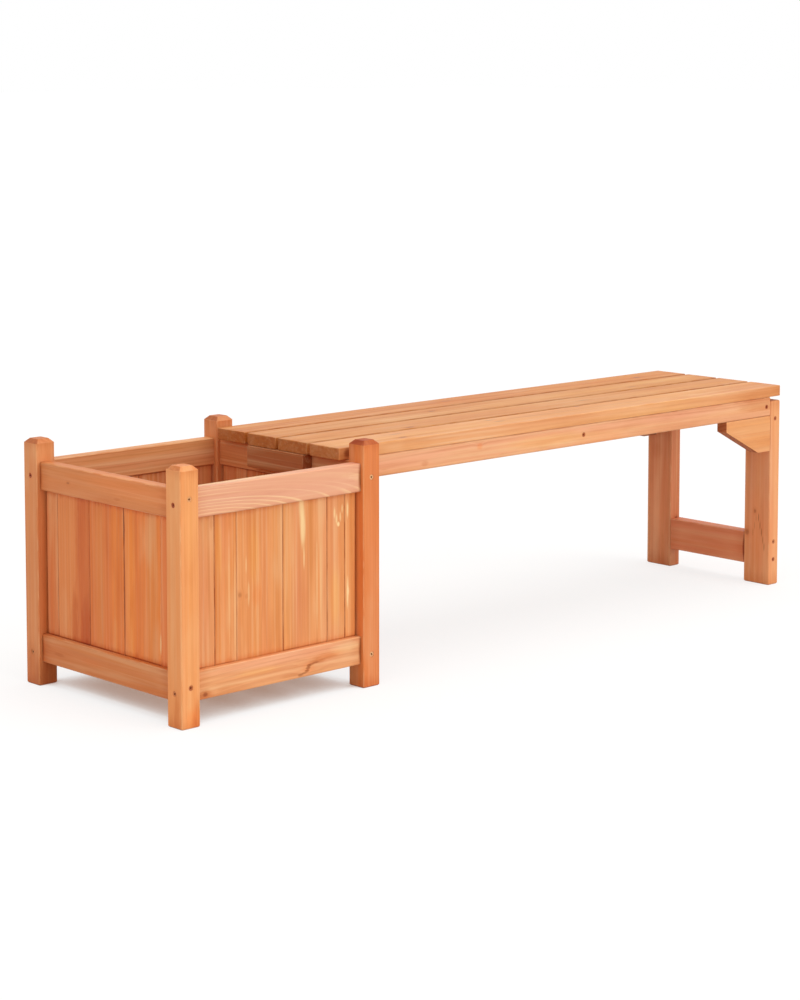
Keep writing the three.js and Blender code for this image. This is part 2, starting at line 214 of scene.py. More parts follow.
def make_floor():
    material, tree = new_material("studio_floor")
    seen = seen_directly(tree)
    paint = lay_over(tree, seen, floor_paint, floor_paint_seen)
    matt = add_node(tree, "ShaderNodeBsdfDiffuse", {"Color": paint}).outputs[0]
    free = add_node(tree, "ShaderNodeAmbientOcclusion", {"Distance": contact_reach}, samples=16)
    openness = ramp(tree, free.outputs["AO"], contact_full, contact_gone)
    lift = lay_over(tree, openness, contact_shade, white)
    strength = calc(tree, "MULTIPLY", seen, floor_lift)
    glow = add_node(tree, "ShaderNodeEmission", {"Color": lift, "Strength": strength}).outputs[0]
    lit = add_node(tree, "ShaderNodeAddShader", {0: matt, 1: glow}).outputs[0]
    clear = add_node(tree, "ShaderNodeBsdfTransparent").outputs[0]
    behind = add_node(tree, "ShaderNodeNewGeometry").outputs["Backfacing"]
    mixed = add_node(tree, "ShaderNodeMixShader", {0: behind, 1: lit, 2: clear}).outputs[0]
    add_node(tree, "ShaderNodeOutputMaterial", {"Surface": mixed})

    mesh = bpy.data.meshes.new("studio_floor")
    sides = [(-1, -1), (1, -1), (1, 1), (-1, 1)]
    corners = [(x * floor_reach, y * floor_reach, -floor_drop) for x, y in sides]
    mesh.from_pydata(corners, [], [(0, 1, 2, 3)])
    mesh.materials.append(material)
    floor = bpy.data.objects.new("studio_floor", mesh)
    bpy.context.scene.collection.objects.link(floor)


def make_sky():
    world = bpy.data.worlds.new("studio_sky")
    world.use_nodes = True
    tree = world.node_tree
    tree.nodes.clear()
    seen = seen_directly(tree)
    strength = ramp(tree, seen, 0.0, 1.0, sky_strength, 1.0)
    glow = add_node(tree, "ShaderNodeBackground", {"Color": white, "Strength": strength}).outputs[0]
    add_node(tree, "ShaderNodeOutputWorld", {"Surface": glow})
    bpy.context.scene.world = world


make_floor()
make_sky()
print("floor and sky", floor_reach, "m wide, sky at", sky_strength)

# %% Lamps
lamps = {
    "top_lamp": {"towards": (0.05, -0.12, 1.0), "strength": 1.2, "spread": 60},
    "front_lamp": {"towards": (0.35, -1.0, 0.35), "strength": 1.2, "spread": 60},
    "end_lamp": {"towards": (-1.0, -0.25, 0.4), "strength": 0.55, "spread": 70},
}


def add_lamp(name, towards, strength, spread):
    lamp = bpy.data.lights.new(name, "SUN")
    lamp.energy = strength
    lamp.angle = math.radians(spread)
    placed = bpy.data.objects.new(name, lamp)
    placed.rotation_euler = Vector(towards).to_track_quat("Z", "Y").to_euler()
    bpy.context.scene.collection.objects.link(placed)


for lamp_name, lamp_facts in lamps.items():
    add_lamp(lamp_name, **lamp_facts)
print("lamps", list(lamps))

# %% [markdown]
# ## Wood, from the inside out
# Timber is cut from a log, and its pattern is a solid thing: pale spring wood and dark autumn wood lie
# in tubes round the pith. A picture of grain stuck on each face would not meet at the corners.
# So each timber gets coordinates of its own, with x along the grain and the pith of its log at zero,
# and the rings are worked out from the distance to the pith. Faces and ends then agree by themselves.

# %% Noise that runs with the grain
def noise(tree, vector, per_metre, seed, detail=2.0):
    """Soft noise in timber coordinates, with its count per metre along each axis."""
    place = vector_calc(tree, "MULTIPLY", vector, per_metre)
    feeds = {"Vector": place, "W": seed, "Scale": 1.0, "Detail": detail, "Roughness": 0.5}
    return add_node(tree, "ShaderNodeTexNoise", feeds, noise_dimensions="4D").outputs[0]


def later(tree, seed, step):
    """A seed that lies a step later, so that two patterns don't repeat each other."""
    return calc(tree, "ADD", seed, step) if step else seed


# %% [markdown]
# ### Growth rings
# A year's ring starts pale and ends in a thin dark line. The log is never quite round or straight,
# so slow noise pushes the radius about, and the years differ in width. Knots push the rings aside too.
# A trunk also tapers. With some taper the tubes become long eggs, and a face that cuts their tips shows
# the arches of a flat-sawn board.

# %% Growth rings
ring_inputs = {
    "Vector": VECTOR,
    "Ring Width": 0.004,
    "Late Share": 0.6,
    "Wander": 0.004,
    "Taper": 0.0,
    "Push": 0.0,
    "Seed": 0.0,
}
r, given, gives = new_group(
    "growth_rings", "ShaderNodeTree", ring_inputs, {"Late Wood": FLOAT, "Year": FLOAT}
)
rings_group = r
wander_per_metre = (2.4, 9.0, 9.0)
years_per_metre = 55.0
years_swing = 2.2
late_wood_ends = 0.9
winter_starts = 0.92
across = vector_calc(r, "MULTIPLY", given["Vector"], join_xyz(r, x=given["Taper"], y=1.0, z=1.0))
radius = length_of(r, across)
sway = calc(r, "SUBTRACT", noise(r, given["Vector"], wander_per_metre, given["Seed"]), 0.5)
radius = calc(r, "MULTIPLY_ADD", sway, given["Wander"], radius)
radius = calc(r, "ADD", radius, given["Push"])
spell = calc(r, "MULTIPLY_ADD", radius, years_per_metre, given["Seed"])
spell = add_node(r, "ShaderNodeTexNoise", {"W": spell, "Scale": 1.0}, noise_dimensions="1D").outputs[0]
count = calc(r, "DIVIDE", radius, given["Ring Width"])
count = calc(r, "MULTIPLY_ADD", spell, years_swing, count)
season = calc(r, "FRACT", count)
autumn = ramp(r, season, calc(r, "SUBTRACT", late_wood_ends, given["Late Share"]), late_wood_ends)
winter = ramp(r, season, winter_starts, 1.0, 1.0, 0.0)
r.links.new(calc(r, "MULTIPLY", autumn, winter), gives["Late Wood"])
year = calc(r, "ADD", calc(r, "FLOOR", count), given["Seed"])
year = add_node(r, "ShaderNodeTexWhiteNoise", {"W": year}, noise_dimensions="1D").outputs["Value"]
r.links.new(year, gives["Year"])

# %% [markdown]
# ### Knots, marks and pale streaks
# A knot is a branch that the trunk grew round: a dark core, a soft halo, and rings that bend past it.
# One group measures how far a point lies from a place, in a stretched ball, and gives core and halo.
# With other colours, the same group also draws streaks of sapwood and patches where the stain took.

# %% A spot in the wood
spot_inputs = {"Vector": VECTOR, "Place": VECTOR, "Reach": (0.01, 0.004, 0.004), "Ragged": 0.5}
p, given, gives = new_group("spot_in_wood", "ShaderNodeTree", spot_inputs, {"Core": FLOAT, "Halo": FLOAT})
spot_group = p
ragged_per_metre = (45.0, 320.0, 320.0)
ragged_seed = 3.0
core_reach = (0.35, 1.15)
halo_reach = (0.6, 2.6)
ripple = calc(p, "SUBTRACT", noise(p, given["Vector"], ragged_per_metre, ragged_seed), 0.5)
apart = vector_calc(p, "SUBTRACT", given["Vector"], given["Place"])
apart = length_of(p, vector_calc(p, "DIVIDE", apart, given["Reach"]))
apart = calc(p, "MULTIPLY_ADD", ripple, given["Ragged"], apart)
p.links.new(ramp(p, apart, *core_reach, 1.0, 0.0), gives["Core"])
p.links.new(ramp(p, apart, *halo_reach, 1.0, 0.0), gives["Halo"])

# %% [markdown]
# ### Where the stain pools, and painted shade in the joints
# Stain runs into the joints and stays there: a thin dark line follows the edges where two boards meet,
# and the ends soak it up like straws. The same dark lines and ends also paint the shade in joints and
# corners: where boards meet rails and posts, and along the gaps between the slats. This group measures
# how far a point is from the piece's long edges and from its ends. The ends' line is broken up along
# the fibres, because no two drink alike.

# %% Near the edges
edge_inputs = {
    "Vector": VECTOR,
    "Middle": VECTOR,
    "Half Size": VECTOR,
    "Rim Width": 0.003,
    "End Rims": 0.0,
    "Soak Length": 0.03,
    "Seed": 0.0,
}
e, given, gives = new_group("near_the_edges", "ShaderNodeTree", edge_inputs, {"Rim": FLOAT, "Soak": FLOAT})
edge_group = e
thirst_per_metre = (9.0, 210.0, 210.0)
thirst_swing = 1.6
pools_per_metre = (14.0, 30.0, 30.0)
pools_from = 0.25
pools_full = 0.4
thinnest_pool = 0.45
rim_fades = (0.2, 1.0)
apart = vector_calc(e, "ABSOLUTE", vector_calc(e, "SUBTRACT", given["Vector"], given["Middle"]))
left_over = vector_calc(e, "SUBTRACT", given["Half Size"], apart)
left_over = add_node(e, "ShaderNodeSeparateXYZ", {0: left_over}).outputs
rim = calc(e, "MAXIMUM", left_over["Y"], left_over["Z"])
end_rim = calc(e, "ADD", left_over["X"], calc(e, "SUBTRACT", 1.0, given["End Rims"]))
rim = calc(e, "DIVIDE", calc(e, "MINIMUM", rim, end_rim), given["Rim Width"])
thirst = calc(e, "SUBTRACT", noise(e, given["Vector"], thirst_per_metre, given["Seed"]), 0.5)
pooled = calc(e, "SUBTRACT", noise(e, given["Vector"], pools_per_metre, given["Seed"]), pools_from)
thirst = calc(e, "MULTIPLY", thirst, given["Soak Length"])
soak = calc(e, "MULTIPLY_ADD", thirst, thirst_swing, left_over["X"])
soak = calc(e, "DIVIDE", soak, given["Soak Length"])
rim = ramp(e, rim, *rim_fades, 1.0, 0.0)
line = calc(e, "MULTIPLY", rim, ramp(e, pooled, 0.0, pools_full, thinnest_pool, 1.0))
e.links.new(line, gives["Rim"])
e.links.new(ramp(e, soak, 0.0, 1.0, 1.0, 0.0), gives["Soak"])

# %% [markdown]
# ### Stained timber
# This group mixes the whole finish. Rings come first, then broad bands where the stain took more or
# less: rosy, golden, deep and pale ones. Fine pale and dark lines follow, then fibres. Over them go the
# soaked ends and pooled edges: pooled stain, and also painted shade in the joints and corners where parts
# meet. Sawn ends drink the most and go dark, and rounded arrises are rubbed a little paler by handling.
# A tone multiplies the colour below it, as a thin glaze does on real wood.
# Roughness and height come out beside the colour, so that the gloss follows the grain.

# %% The finish as one group
rosy_tone = (1.00, 0.95, 1.06, 1.0)
golden_tone = (1.03, 1.04, 0.84, 1.0)
deep_tone = (0.86, 0.72, 0.58, 1.0)
# The soaked and pooled tones are stain that ran into ends and joints, and also painted shade in the joints
# and corners where parts meet.
soaked_stain_and_shade_tone = (0.80, 0.60, 0.44, 1.0)
pooled_stain_and_shade_tone = (0.50, 0.31, 0.20, 1.0)

finish_inputs = {
    **ring_inputs,
    **dict.fromkeys(("Early", "Late", "Pale", "End Grain"), COLOUR),
    **dict.fromkeys(("Rings", "Bands", "Lines"), 0.5),
    **dict.fromkeys(("Knot", "End", "Arris", "Rim", "Soak"), 0.0),
}
finish_outputs = {"Color": COLOUR, "Roughness": FLOAT, "Height": FLOAT}
t, given, gives = new_group("stained_timber", "ShaderNodeTree", finish_inputs, finish_outputs)
timber_group = t
rings = use_group(t, rings_group, {key: given[key] for key in ring_inputs})


def pattern(per_metre, step=0.0, detail=1.0):
    """A noise in this timber's own coordinates, whose seed lies a step after the timber's."""
    return noise(t, given["Vector"], per_metre, later(t, given["Seed"], step), detail)


patterns = {
    "hue": pattern((1.1, 40.0, 40.0)),
    "depth": pattern((2.6, 64.0, 64.0), 5.0),
    "cloud": pattern((7.0, 26.0, 26.0), 9.0, 2.0),
    "line": pattern((3.0, 200.0, 200.0), 13.0),
    "fibre": pattern((16.0, 900.0, 900.0), 0.0, 2.0),
    "fleck": pattern((26.0, 520.0, 520.0), 7.0),
}

# %% Tints that follow the patterns
# A tint follows a pattern from where it starts to where it is full. An input of the group may rule it, by
# a share. The pale tone covers what lies below, and the others multiply it.
Tint = namedtuple("Tint", "follows start full ruled_by share tone")
tints = [
    Tint("hue", 0.50, 0.66, "Bands", 1.0, rosy_tone),
    Tint("hue", 0.50, 0.34, "Bands", 1.0, golden_tone),
    Tint("depth", 0.52, 0.70, "Bands", 1.0, deep_tone),
    Tint("depth", 0.48, 0.32, "Bands", 0.6, "Pale"),
    Tint("cloud", 0.52, 0.72, "Bands", 0.7, deep_tone),
    Tint("cloud", 0.48, 0.28, "Bands", 0.5, "Pale"),
    Tint("line", 0.52, 0.68, "Lines", 1.0, "Pale"),
    Tint("line", 0.48, 0.30, "Lines", 1.0, deep_tone),
    Tint("fibre", 0.50, 0.30, None, 0.3, deep_tone),
    Tint("fleck", 0.70, 0.80, None, 0.5, deep_tone),
]
faintest_year = 0.35


def lay_tint(under, tint):
    """Lays a tint on the wood, as strongly as its pattern and its share say."""
    amount = tint.share
    if tint.ruled_by:
        amount = given[tint.ruled_by] if amount == 1.0 else calc(t, "MULTIPLY", given[tint.ruled_by], amount)
    span = (0.0, 1.0) if tint.full > tint.start else (1.0, 0.0)
    share = ramp(t, patterns[tint.follows], *sorted((tint.start, tint.full)), *span)
    share = calc(t, "MULTIPLY", share, amount)
    if tint.tone == "Pale":
        return lay_over(t, share, under, given["Pale"])
    return lay_over(t, share, under, tint.tone, "MULTIPLY")


year_weight = ramp(t, rings["Year"], 0.0, 1.0, faintest_year, 1.0)
ring_share = calc(t, "MULTIPLY", calc(t, "MULTIPLY", rings["Late Wood"], year_weight), given["Rings"])
mixed = lay_over(t, ring_share, given["Early"], given["Late"])
for tint in tints:
    mixed = lay_tint(mixed, tint)
mixed = lay_over(t, given["Soak"], mixed, soaked_stain_and_shade_tone, "MULTIPLY")
mixed = lay_over(t, given["Rim"], mixed, pooled_stain_and_shade_tone, "MULTIPLY")
print("tints", len(tints), "on patterns", list(patterns))

# %% Sawn ends, rubbed arrises, gloss and height
least_end_share = 0.85
rubs_per_metre = (30.0, 60.0, 60.0)
rub_starts, rub_full = 0.38, 0.62
rubbed_paler = 0.35
pale_fibre_roughness, dark_fibre_roughness = 0.46, 0.58
end_share = ramp(t, rings["Late Wood"], 0.0, 1.0, least_end_share, 1.0)
mixed = lay_over(t, calc(t, "MULTIPLY", given["End"], end_share), mixed, given["End Grain"])
rub = ramp(t, noise(t, given["Vector"], rubs_per_metre, given["Seed"]), rub_starts, rub_full)
rub = calc(t, "MULTIPLY", calc(t, "MULTIPLY", rub, given["Arris"]), calc(t, "SUBTRACT", 1.0, given["End"]))
mixed = lay_over(t, calc(t, "MULTIPLY", rub, rubbed_paler), mixed, given["Pale"])
t.links.new(mixed, gives["Color"])

roughness_adds = [(rings["Late Wood"], -0.05), (given["End"], 0.16), (given["Knot"], -0.08), (rub, 0.08)]
roughness = ramp(t, patterns["fibre"], 0.25, 0.75, dark_fibre_roughness, pale_fibre_roughness)
for part, amount in roughness_adds:
    roughness = calc(t, "MULTIPLY_ADD", part, amount, roughness)
t.links.new(roughness, gives["Roughness"])

pores = ramp(t, patterns["fleck"], 0.72, 0.8)
height_adds = [(patterns["fibre"], 0.8), (patterns["line"], 0.5), (pores, -0.6), (given["Knot"], -0.8)]
height = calc(t, "MULTIPLY", rings["Late Wood"], 0.5)
for part, amount in height_adds:
    height = calc(t, "MULTIPLY_ADD", part, amount, height)
t.links.new(height, gives["Height"])
print("the finish gives", list(finish_outputs))

# %% [markdown]
# ## One board, one material
# No two boards in a bench come from the same place in the tree. Each timber gets its own material:
# the same groups, with another seed, another heart for its log, and a base colour of its own.
# A Mapping node turns object coordinates until x runs with the grain, and moves the heart to zero.
# The dark and pale tones are worked out from the base colour, as a stain pot would do it.

# %% Tones from one base colour
late_tone = (0.80, 0.66, 0.54)
end_tone = (0.47, 0.27, 0.19)
cream = colour("#fbdcaa")
cream_share = 0.5

turn_to_grain = {
    "x": Euler((0.0, 0.0, 0.0)),
    "y": Euler((0.0, 0.0, -math.pi / 2)),
    "z": Euler((0.0, math.pi / 2, 0.0)),
}


def toned(base, tone):
    """A base colour times a tone, channel by channel."""
    return tuple(b * s for b, s in zip(base, tone)) + (1.0,)


def towards(base, other, share):
    """A base colour drawn towards another."""
    return tuple(b + (o - b) * share for b, o in zip(base[:3], other[:3])) + (1.0,)


# %% What a mark looks like
# A mark is a spot on a face: its look, its place by shares along the grain and over the face, how far it
# reaches across the grain, how many times longer it is along it, how strong and ragged it is, and how
# far it pushes the rings aside.
Mark = namedtuple(
    "Mark", "look face along over size stretch strength ragged push", defaults=(2.0, 0.8, 0.5, 0.0)
)
looks = {
    "knot": ("MULTIPLY", (0.42, 0.24, 0.13, 1.0)),
    # This dark look draws real checks, and also painted shade where parts meet.
    "check_and_contact_shade": ("MULTIPLY", (0.42, 0.24, 0.10, 1.0)),
    "cream": ("MIX", colour("#fbd79c")),
    "hot": ("MULTIPLY", (1.02, 0.80, 0.60, 1.0)),
    "deep": ("MULTIPLY", (0.84, 0.66, 0.50, 1.0)),
    "golden": ("MULTIPLY", (1.05, 1.08, 0.86, 1.0)),
    "tan": ("MULTIPLY", (0.93, 1.00, 1.02, 1.0)),
    "rosy": ("MULTIPLY", (1.01, 0.95, 1.08, 1.0)),
    "light": ("MULTIPLY", (1.08, 1.20, 1.28, 1.0)),
    "bright": ("MULTIPLY", (1.20, 1.15, 1.14, 1.0)),
    "pink": ("MULTIPLY", (1.01, 0.99, 1.14, 1.0)),
    "plain": ("MIX", colour("#eba884")),
}
print("looks of marks", list(looks))

# %% Where a mark lies on a piece
AXES = "xyz"


def mark_place(box, grain, mark):
    """Where a mark lies on its face of a box. A face such as -y is the one that looks to -Y."""
    low, high = box
    facing = AXES.index(mark.face[1])
    running = AXES.index(grain)
    crossing = 3 - facing - running
    place = Vector((0.0, 0.0, 0.0))
    place[running] = low[running] + mark.along * (high[running] - low[running])
    place[crossing] = low[crossing] + mark.over * (high[crossing] - low[crossing])
    place[facing] = low[facing] if mark.face[0] == "-" else high[facing]
    return place


# %% The timber material
halo_strength = 0.7
bump_strength = 0.35
fibre_depth = 0.0004
wood_specular = 0.25


def measure_marks(tree, vector, placed_marks, to_timber):
    """Measures each mark, and adds up the push that they give to the rings."""
    push = 0.0
    knot = 0.0
    layers = []
    for mark, place in placed_marks:
        spot = use_group(tree, spot_group, {
            "Vector": vector,
            "Place": to_timber @ place,
            "Reach": Vector((mark.size * mark.stretch, mark.size, mark.size)),
            "Ragged": mark.ragged,
        })
        if mark.push:
            push = calc(tree, "MULTIPLY_ADD", spot["Halo"], mark.push, push)
        if mark.look == "knot":
            knot = calc(tree, "MAXIMUM", spot["Core"], knot)
            halo = calc(tree, "MULTIPLY", spot["Halo"], mark.strength * halo_strength)
            layers.append(("deep", halo))
        layers.append((mark.look, calc(tree, "MULTIPLY", spot["Core"], mark.strength)))
    return push, knot, layers


def from_facts(facts, *names):
    """The inputs of a group that have the same names as a timber's facts."""
    return {name: facts[name.lower().replace(" ", "_")] for name in names}


def timber_material(name, base, box, grain, facts):
    """One timber's material, from its base colour and what the cutting list says about it."""
    material, tree = new_material(name)
    turn = turn_to_grain[grain]
    rotation = turn.to_matrix()
    shift = -(rotation @ ((box[0] + box[1]) / 2 + Vector(facts["heart"])))
    to_timber = Matrix.Translation(shift) @ rotation.to_4x4()
    here = add_node(tree, "ShaderNodeTexCoord").outputs["Object"]
    feeds = {"Vector": here, "Location": shift, "Rotation": turn}
    vector = add_node(tree, "ShaderNodeMapping", feeds).outputs[0]

    shown = facts.get("shown", box)
    half = rotation @ ((shown[1] - shown[0]) / 2)
    edges = use_group(tree, edge_group, {
        "Vector": vector,
        "Middle": to_timber @ ((shown[0] + shown[1]) / 2),
        "Half Size": Vector([abs(side) for side in half]),
        **from_facts(facts, "Rim Width", "End Rims", "Soak Length", "Seed"),
    })
    push, knot, layers = measure_marks(tree, vector, facts["marks"], to_timber)
    finish = use_group(tree, timber_group, {
        "Vector": vector,
        "Push": push,
        "Early": base,
        "Late": colour(facts["late"]) if "late" in facts else toned(base, late_tone),
        "Pale": towards(base, cream, cream_share),
        "End Grain": toned(base, end_tone),
        **from_facts(facts, "Seed", "Ring Width", "Late Share", "Wander", "Taper"),
        **from_facts(facts, "Rings", "Bands", "Lines"),
        "Knot": knot,
        "End": attribute(tree, "end_grain"),
        "Arris": attribute(tree, "arris"),
        "Rim": calc(tree, "MULTIPLY", edges["Rim"], facts["rim"]),
        "Soak": calc(tree, "MULTIPLY", edges["Soak"], facts["soak"]),
    })
    mixed = finish["Color"]
    for look, share in layers:
        mixed = lay_over(tree, share, mixed, looks[look][1], looks[look][0])
    bump_feeds = {"Height": finish["Height"], "Strength": bump_strength, "Distance": fibre_depth}
    relief = add_node(tree, "ShaderNodeBump", bump_feeds).outputs[0]
    shader = add_node(tree, "ShaderNodeBsdfPrincipled", {
        "Base Color": mixed,
        "Roughness": finish["Roughness"],
        "Normal": relief,
        "Specular IOR Level": wood_specular,
    })
    add_node(tree, "ShaderNodeOutputMaterial", {"Surface": shader.outputs[0]})
    return material


# %% [markdown]
# ## Dressing a timber
# The frame's solids have flat chamfers on their edges. Real planed timber has soft arrises, and a soft
# arris is what draws the bright line along a post. So each timber is copied, its loose triangles are
# merged back into faces, and a small Bevel rounds every edge and every screw hole's rim.
# Two numbers are then stored on each face: how much end grain it shows, and whether it is an arris.

# %% Dress one timber
merge_reach = 0.00001
flat_angle = math.radians(1)
bevel_from = math.radians(25)
face_square = 0.985
end_square = 0.6
side_square = 0.3
plain_ends = {"end": 0.45}


def end_share_of(normal, running, shares):
    """How much end grain a face shows, by the way it looks."""
    if abs(normal[running]) < shares.get("from", end_square):
        return 0.0
    sideways = [abs(normal[i]) if i != running else 0.0 for i in range(3)]
    widest = sideways.index(max(sideways))
    sign = "-" if normal[widest] < 0 else "+"
    if sideways[widest] > side_square and sign + AXES[widest] in shares:
        return shares[sign + AXES[widest]]
    return shares["end"]


def mark_faces(mesh, grain, shares):
    """Stores on each face how much end grain it shows and whether it is a rounded arris."""
    mesh.update()
    end_marks = mesh.attributes.new("end_grain", "FLOAT", "FACE")
    arris_marks = mesh.attributes.new("arris", "FLOAT", "FACE")
    for i, face in enumerate(mesh.polygons):
        end_marks.data[i].value = end_share_of(face.normal, AXES.index(grain), shares)
        arris_marks.data[i].value = 0.0 if max(map(abs, face.normal)) > face_square else 1.0


def plain_mesh(piece, name):
    """The piece's mesh with its modifiers worked in, and the modifiers removed."""
    bpy.context.view_layer.update()
    seen = piece.evaluated_get(bpy.context.evaluated_depsgraph_get())
    mesh = bpy.data.meshes.new_from_object(seen)
    mesh.name = name
    piece.modifiers.clear()
    piece.data = mesh
    return mesh


def finish_piece(piece, nodes, material):
    """Gives the piece its material, and says what it rides on and replaces."""
    piece.data.materials.clear()
    piece.data.materials.append(material)
    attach(piece, "root")
    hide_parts(*nodes)


def rounded_copy(node, round_over):
    """A copy of a CAD timber with its edges rounded."""
    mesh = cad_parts[node].data.copy()
    shape = bmesh.new()
    shape.from_mesh(mesh)
    bmesh.ops.remove_doubles(shape, verts=shape.verts, dist=merge_reach)
    bmesh.ops.dissolve_limit(shape, angle_limit=flat_angle, verts=shape.verts, edges=shape.edges)
    for face in shape.faces:
        face.smooth = True
    shape.to_mesh(mesh)
    shape.free()
    for name in [a.name for a in mesh.attributes if a.name == "custom_normal"]:
        mesh.attributes.remove(mesh.attributes[name])
    piece = bpy.data.objects.new(node + "_timber", mesh)
    bpy.context.scene.collection.objects.link(piece)
    bevel = piece.modifiers.new("round_over", "BEVEL")
    bevel.width = round_over
    bevel.segments = 2
    bevel.limit_method = "ANGLE"
    bevel.angle_limit = bevel_from
    bevel.harden_normals = True
    plain_mesh(piece, node + "_timber")
    return piece


# %% [markdown]
# ## A rounded bar by rule
# Slats, battens and floor boards are all plain bars, so Geometry Nodes make them from two corners.
# The rule starts with a fine cube. Each point is drawn back to an inner box, smaller by the rounding,
# and pushed out again by exactly that radius. Points over a face land flat, and points over an edge or
# a corner land on a quarter round. Even steps of angle come from the tangent of each point's share.

# %% The rounded bar tree
bar_inputs = {
    "Low Corner": (0.0, 0.0, 0.0),
    "High Corner": (1.0, 0.1, 0.1),
    "Rounding": 0.002,
    "Material": MATERIAL,
}
b, given, gives = new_group("rounded_bar", "GeometryNodeTree", bar_inputs, {"Geometry": GEOMETRY})
bar_tree = b
bar_points = 10
arc_steps = 6
flat_steps = bar_points - 1 - arc_steps
half_step_angle = math.pi / 4 / arc_steps
zero = (0.0, 0.0, 0.0)


def evenly(value):
    """The same number for all three sides."""
    return (value, value, value)


cube_feeds = {"Size": evenly(2.0), **{"Vertices " + axis: bar_points for axis in "XYZ"}}
cube = add_node(b, "GeometryNodeMeshCube", cube_feeds).outputs["Mesh"]
here = add_node(b, "GeometryNodeInputPosition").outputs[0]
side = vector_calc(b, "SIGN", here)
size = vector_calc(b, "SUBTRACT", given["High Corner"], given["Low Corner"])
middle = vector_calc(b, "ADD", given["High Corner"], given["Low Corner"])
middle = vector_calc(b, "MULTIPLY", middle, evenly(0.5))
radius = join_xyz(b, x=given["Rounding"], y=given["Rounding"], z=given["Rounding"])
inner = vector_calc(b, "SUBTRACT", vector_calc(b, "MULTIPLY", size, evenly(0.5)), radius)
reach = vector_calc(b, "MULTIPLY", vector_calc(b, "ABSOLUTE", here), evenly(bar_points - 1))
reach = vector_calc(b, "SUBTRACT", reach, evenly(flat_steps))
reach = vector_calc(b, "MULTIPLY", reach, evenly(half_step_angle))
reach = vector_calc(b, "MULTIPLY", vector_calc(b, "TANGENT", reach), radius)
outward = vector_calc(b, "NORMALIZE", vector_calc(b, "MAXIMUM", reach, zero))
outward = vector_calc(b, "MULTIPLY", outward, radius)
placed = vector_calc(b, "ADD", inner, vector_calc(b, "MINIMUM", reach, zero))
placed = vector_calc(b, "ADD", placed, outward)
placed = vector_calc(b, "ADD", vector_calc(b, "MULTIPLY", placed, side), middle)
shaped = add_node(b, "GeometryNodeSetPosition", {"Geometry": cube, "Position": placed}).outputs[0]
shaped = add_node(b, "GeometryNodeSetShadeSmooth", {"Geometry": shaped}).outputs[0]
shaped = add_node(b, "GeometryNodeRealizeInstances", {"Geometry": shaped}).outputs[0]
shaped = add_node(b, "GeometryNodeSetMaterial", {"Geometry": shaped, "Material": given["Material"]})
b.links.new(shaped.outputs[0], gives["Geometry"])


def from_tree(name, tree, values, mesh):
    """An object whose mesh comes from a Geometry Nodes tree, with the tree's inputs set by name."""
    piece = bpy.data.objects.new(name, mesh)
    bpy.context.scene.collection.objects.link(piece)
    modifier = piece.modifiers.new(name, "NODES")
    sockets = {s.name: s.identifier for s in tree.interface.items_tree if s.in_out == "INPUT"}
    modifier.node_group = tree
    for key, value in values.items():
        modifier[sockets[key]] = value
    plain_mesh(piece, name)
    return piece


# %% [markdown]
# ## The list of timbers
# A workshop keeps a cutting list, and so does this script. For each timber it says which way the grain
# runs, how much its edges are rounded and its base colour.
# Marks are given by shares of the face that they lie on, along the grain and over the face, so they move
# with the piece. Whatever the list leaves out comes from the usual timber.

# %% Make a timber from its line in the cutting list
first_seed = 11.0
seed_step = 3.7
seeds = {name: first_seed + seed_step * i for i, name in enumerate(sorted(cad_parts))}
dressed = []
usual_timber = {
    "ring_width": 0.0048, "late_share": 0.6, "wander": 0.008, "taper": 0.0,
    "rings": 0.45, "bands": 0.55, "lines": 0.4,
    "rim": 0.0, "rim_width": 0.0035, "end_rims": 0.0, "soak": 0.0, "soak_length": 0.03,
    "marks": [], "screws": [], "ends": plain_ends,
}
screw_dent = Mark("deep", "", 0.0, 0.0, 0.0055, 1.2, 0.35, 0.3)
turn_per_seed = 2.399
heart_distance = 0.055
heart_swing = 0.03
swing_per_seed = 1.7


def heart_for(seed, grain):
    """Where the log's heart lies for a seed: some way off, in any direction across the grain."""
    angle = seed * turn_per_seed
    distance = heart_distance + heart_swing * math.sin(seed * swing_per_seed)
    sideways = [distance * math.cos(angle), distance * math.sin(angle)]
    sideways.insert(AXES.index(grain), 0.0)
    return tuple(sideways)


def timber(node, grain, slot_name, base, round_over, by_rule=False, **facts):
    """Makes one timber: its rounded shape and its own material."""
    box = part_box(node)
    facts = {**usual_timber, "seed": seeds[node], "heart": heart_for(seeds[node], grain), **facts}
    dents = [(screw_dent, place) for place in facts["screws"]]
    facts["marks"] = dents + [(mark, mark_place(box, grain, mark)) for mark in facts["marks"]]
    material = timber_material(node + "_stain", colour(base), box, grain, facts)
    if by_rule:
        values = {
            "Low Corner": tuple(box[0]),
            "High Corner": tuple(box[1]),
            "Rounding": round_over,
            "Material": material,
        }
        piece = from_tree(node + "_timber", bar_tree, values, bpy.data.meshes.new(node + "_timber"))
    else:
        piece = rounded_copy(node, round_over)
    mark_faces(piece.data, grain, facts["ends"])
    finish_piece(piece, [node], material)
    dressed.append(node)


# %% [markdown]
# ## Planter posts
# Each post is a square timber with a chamfered cap. The cap cuts across the fibres, so it drinks more
# stain and turns red-brown, on some sides more than on others. A screw squeezes its hole, and the wood
# round it darkens a little: a small weak mark at each screw stands for that. The feet stood in a puddle
# of stain, which crept a few centimetres up the fibres.

# %% Where a post's screws go
post_round = 0.0009
top_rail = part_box("planter_top_rail_front")
bottom_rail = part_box("planter_bottom_rail_front")
screw_stagger = 0.0045
top_screw_rise = 0.004
bottom_screw_drop = 0.0035


def middle_of(node):
    """The middle of a node's box."""
    low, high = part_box(node)
    return (low + high) / 2


screw_lines = [
    (top_rail[0].z + top_rail[1].z) / 2 + top_screw_rise,
    (bottom_rail[0].z + bottom_rail[1].z) / 2 - bottom_screw_drop,
]


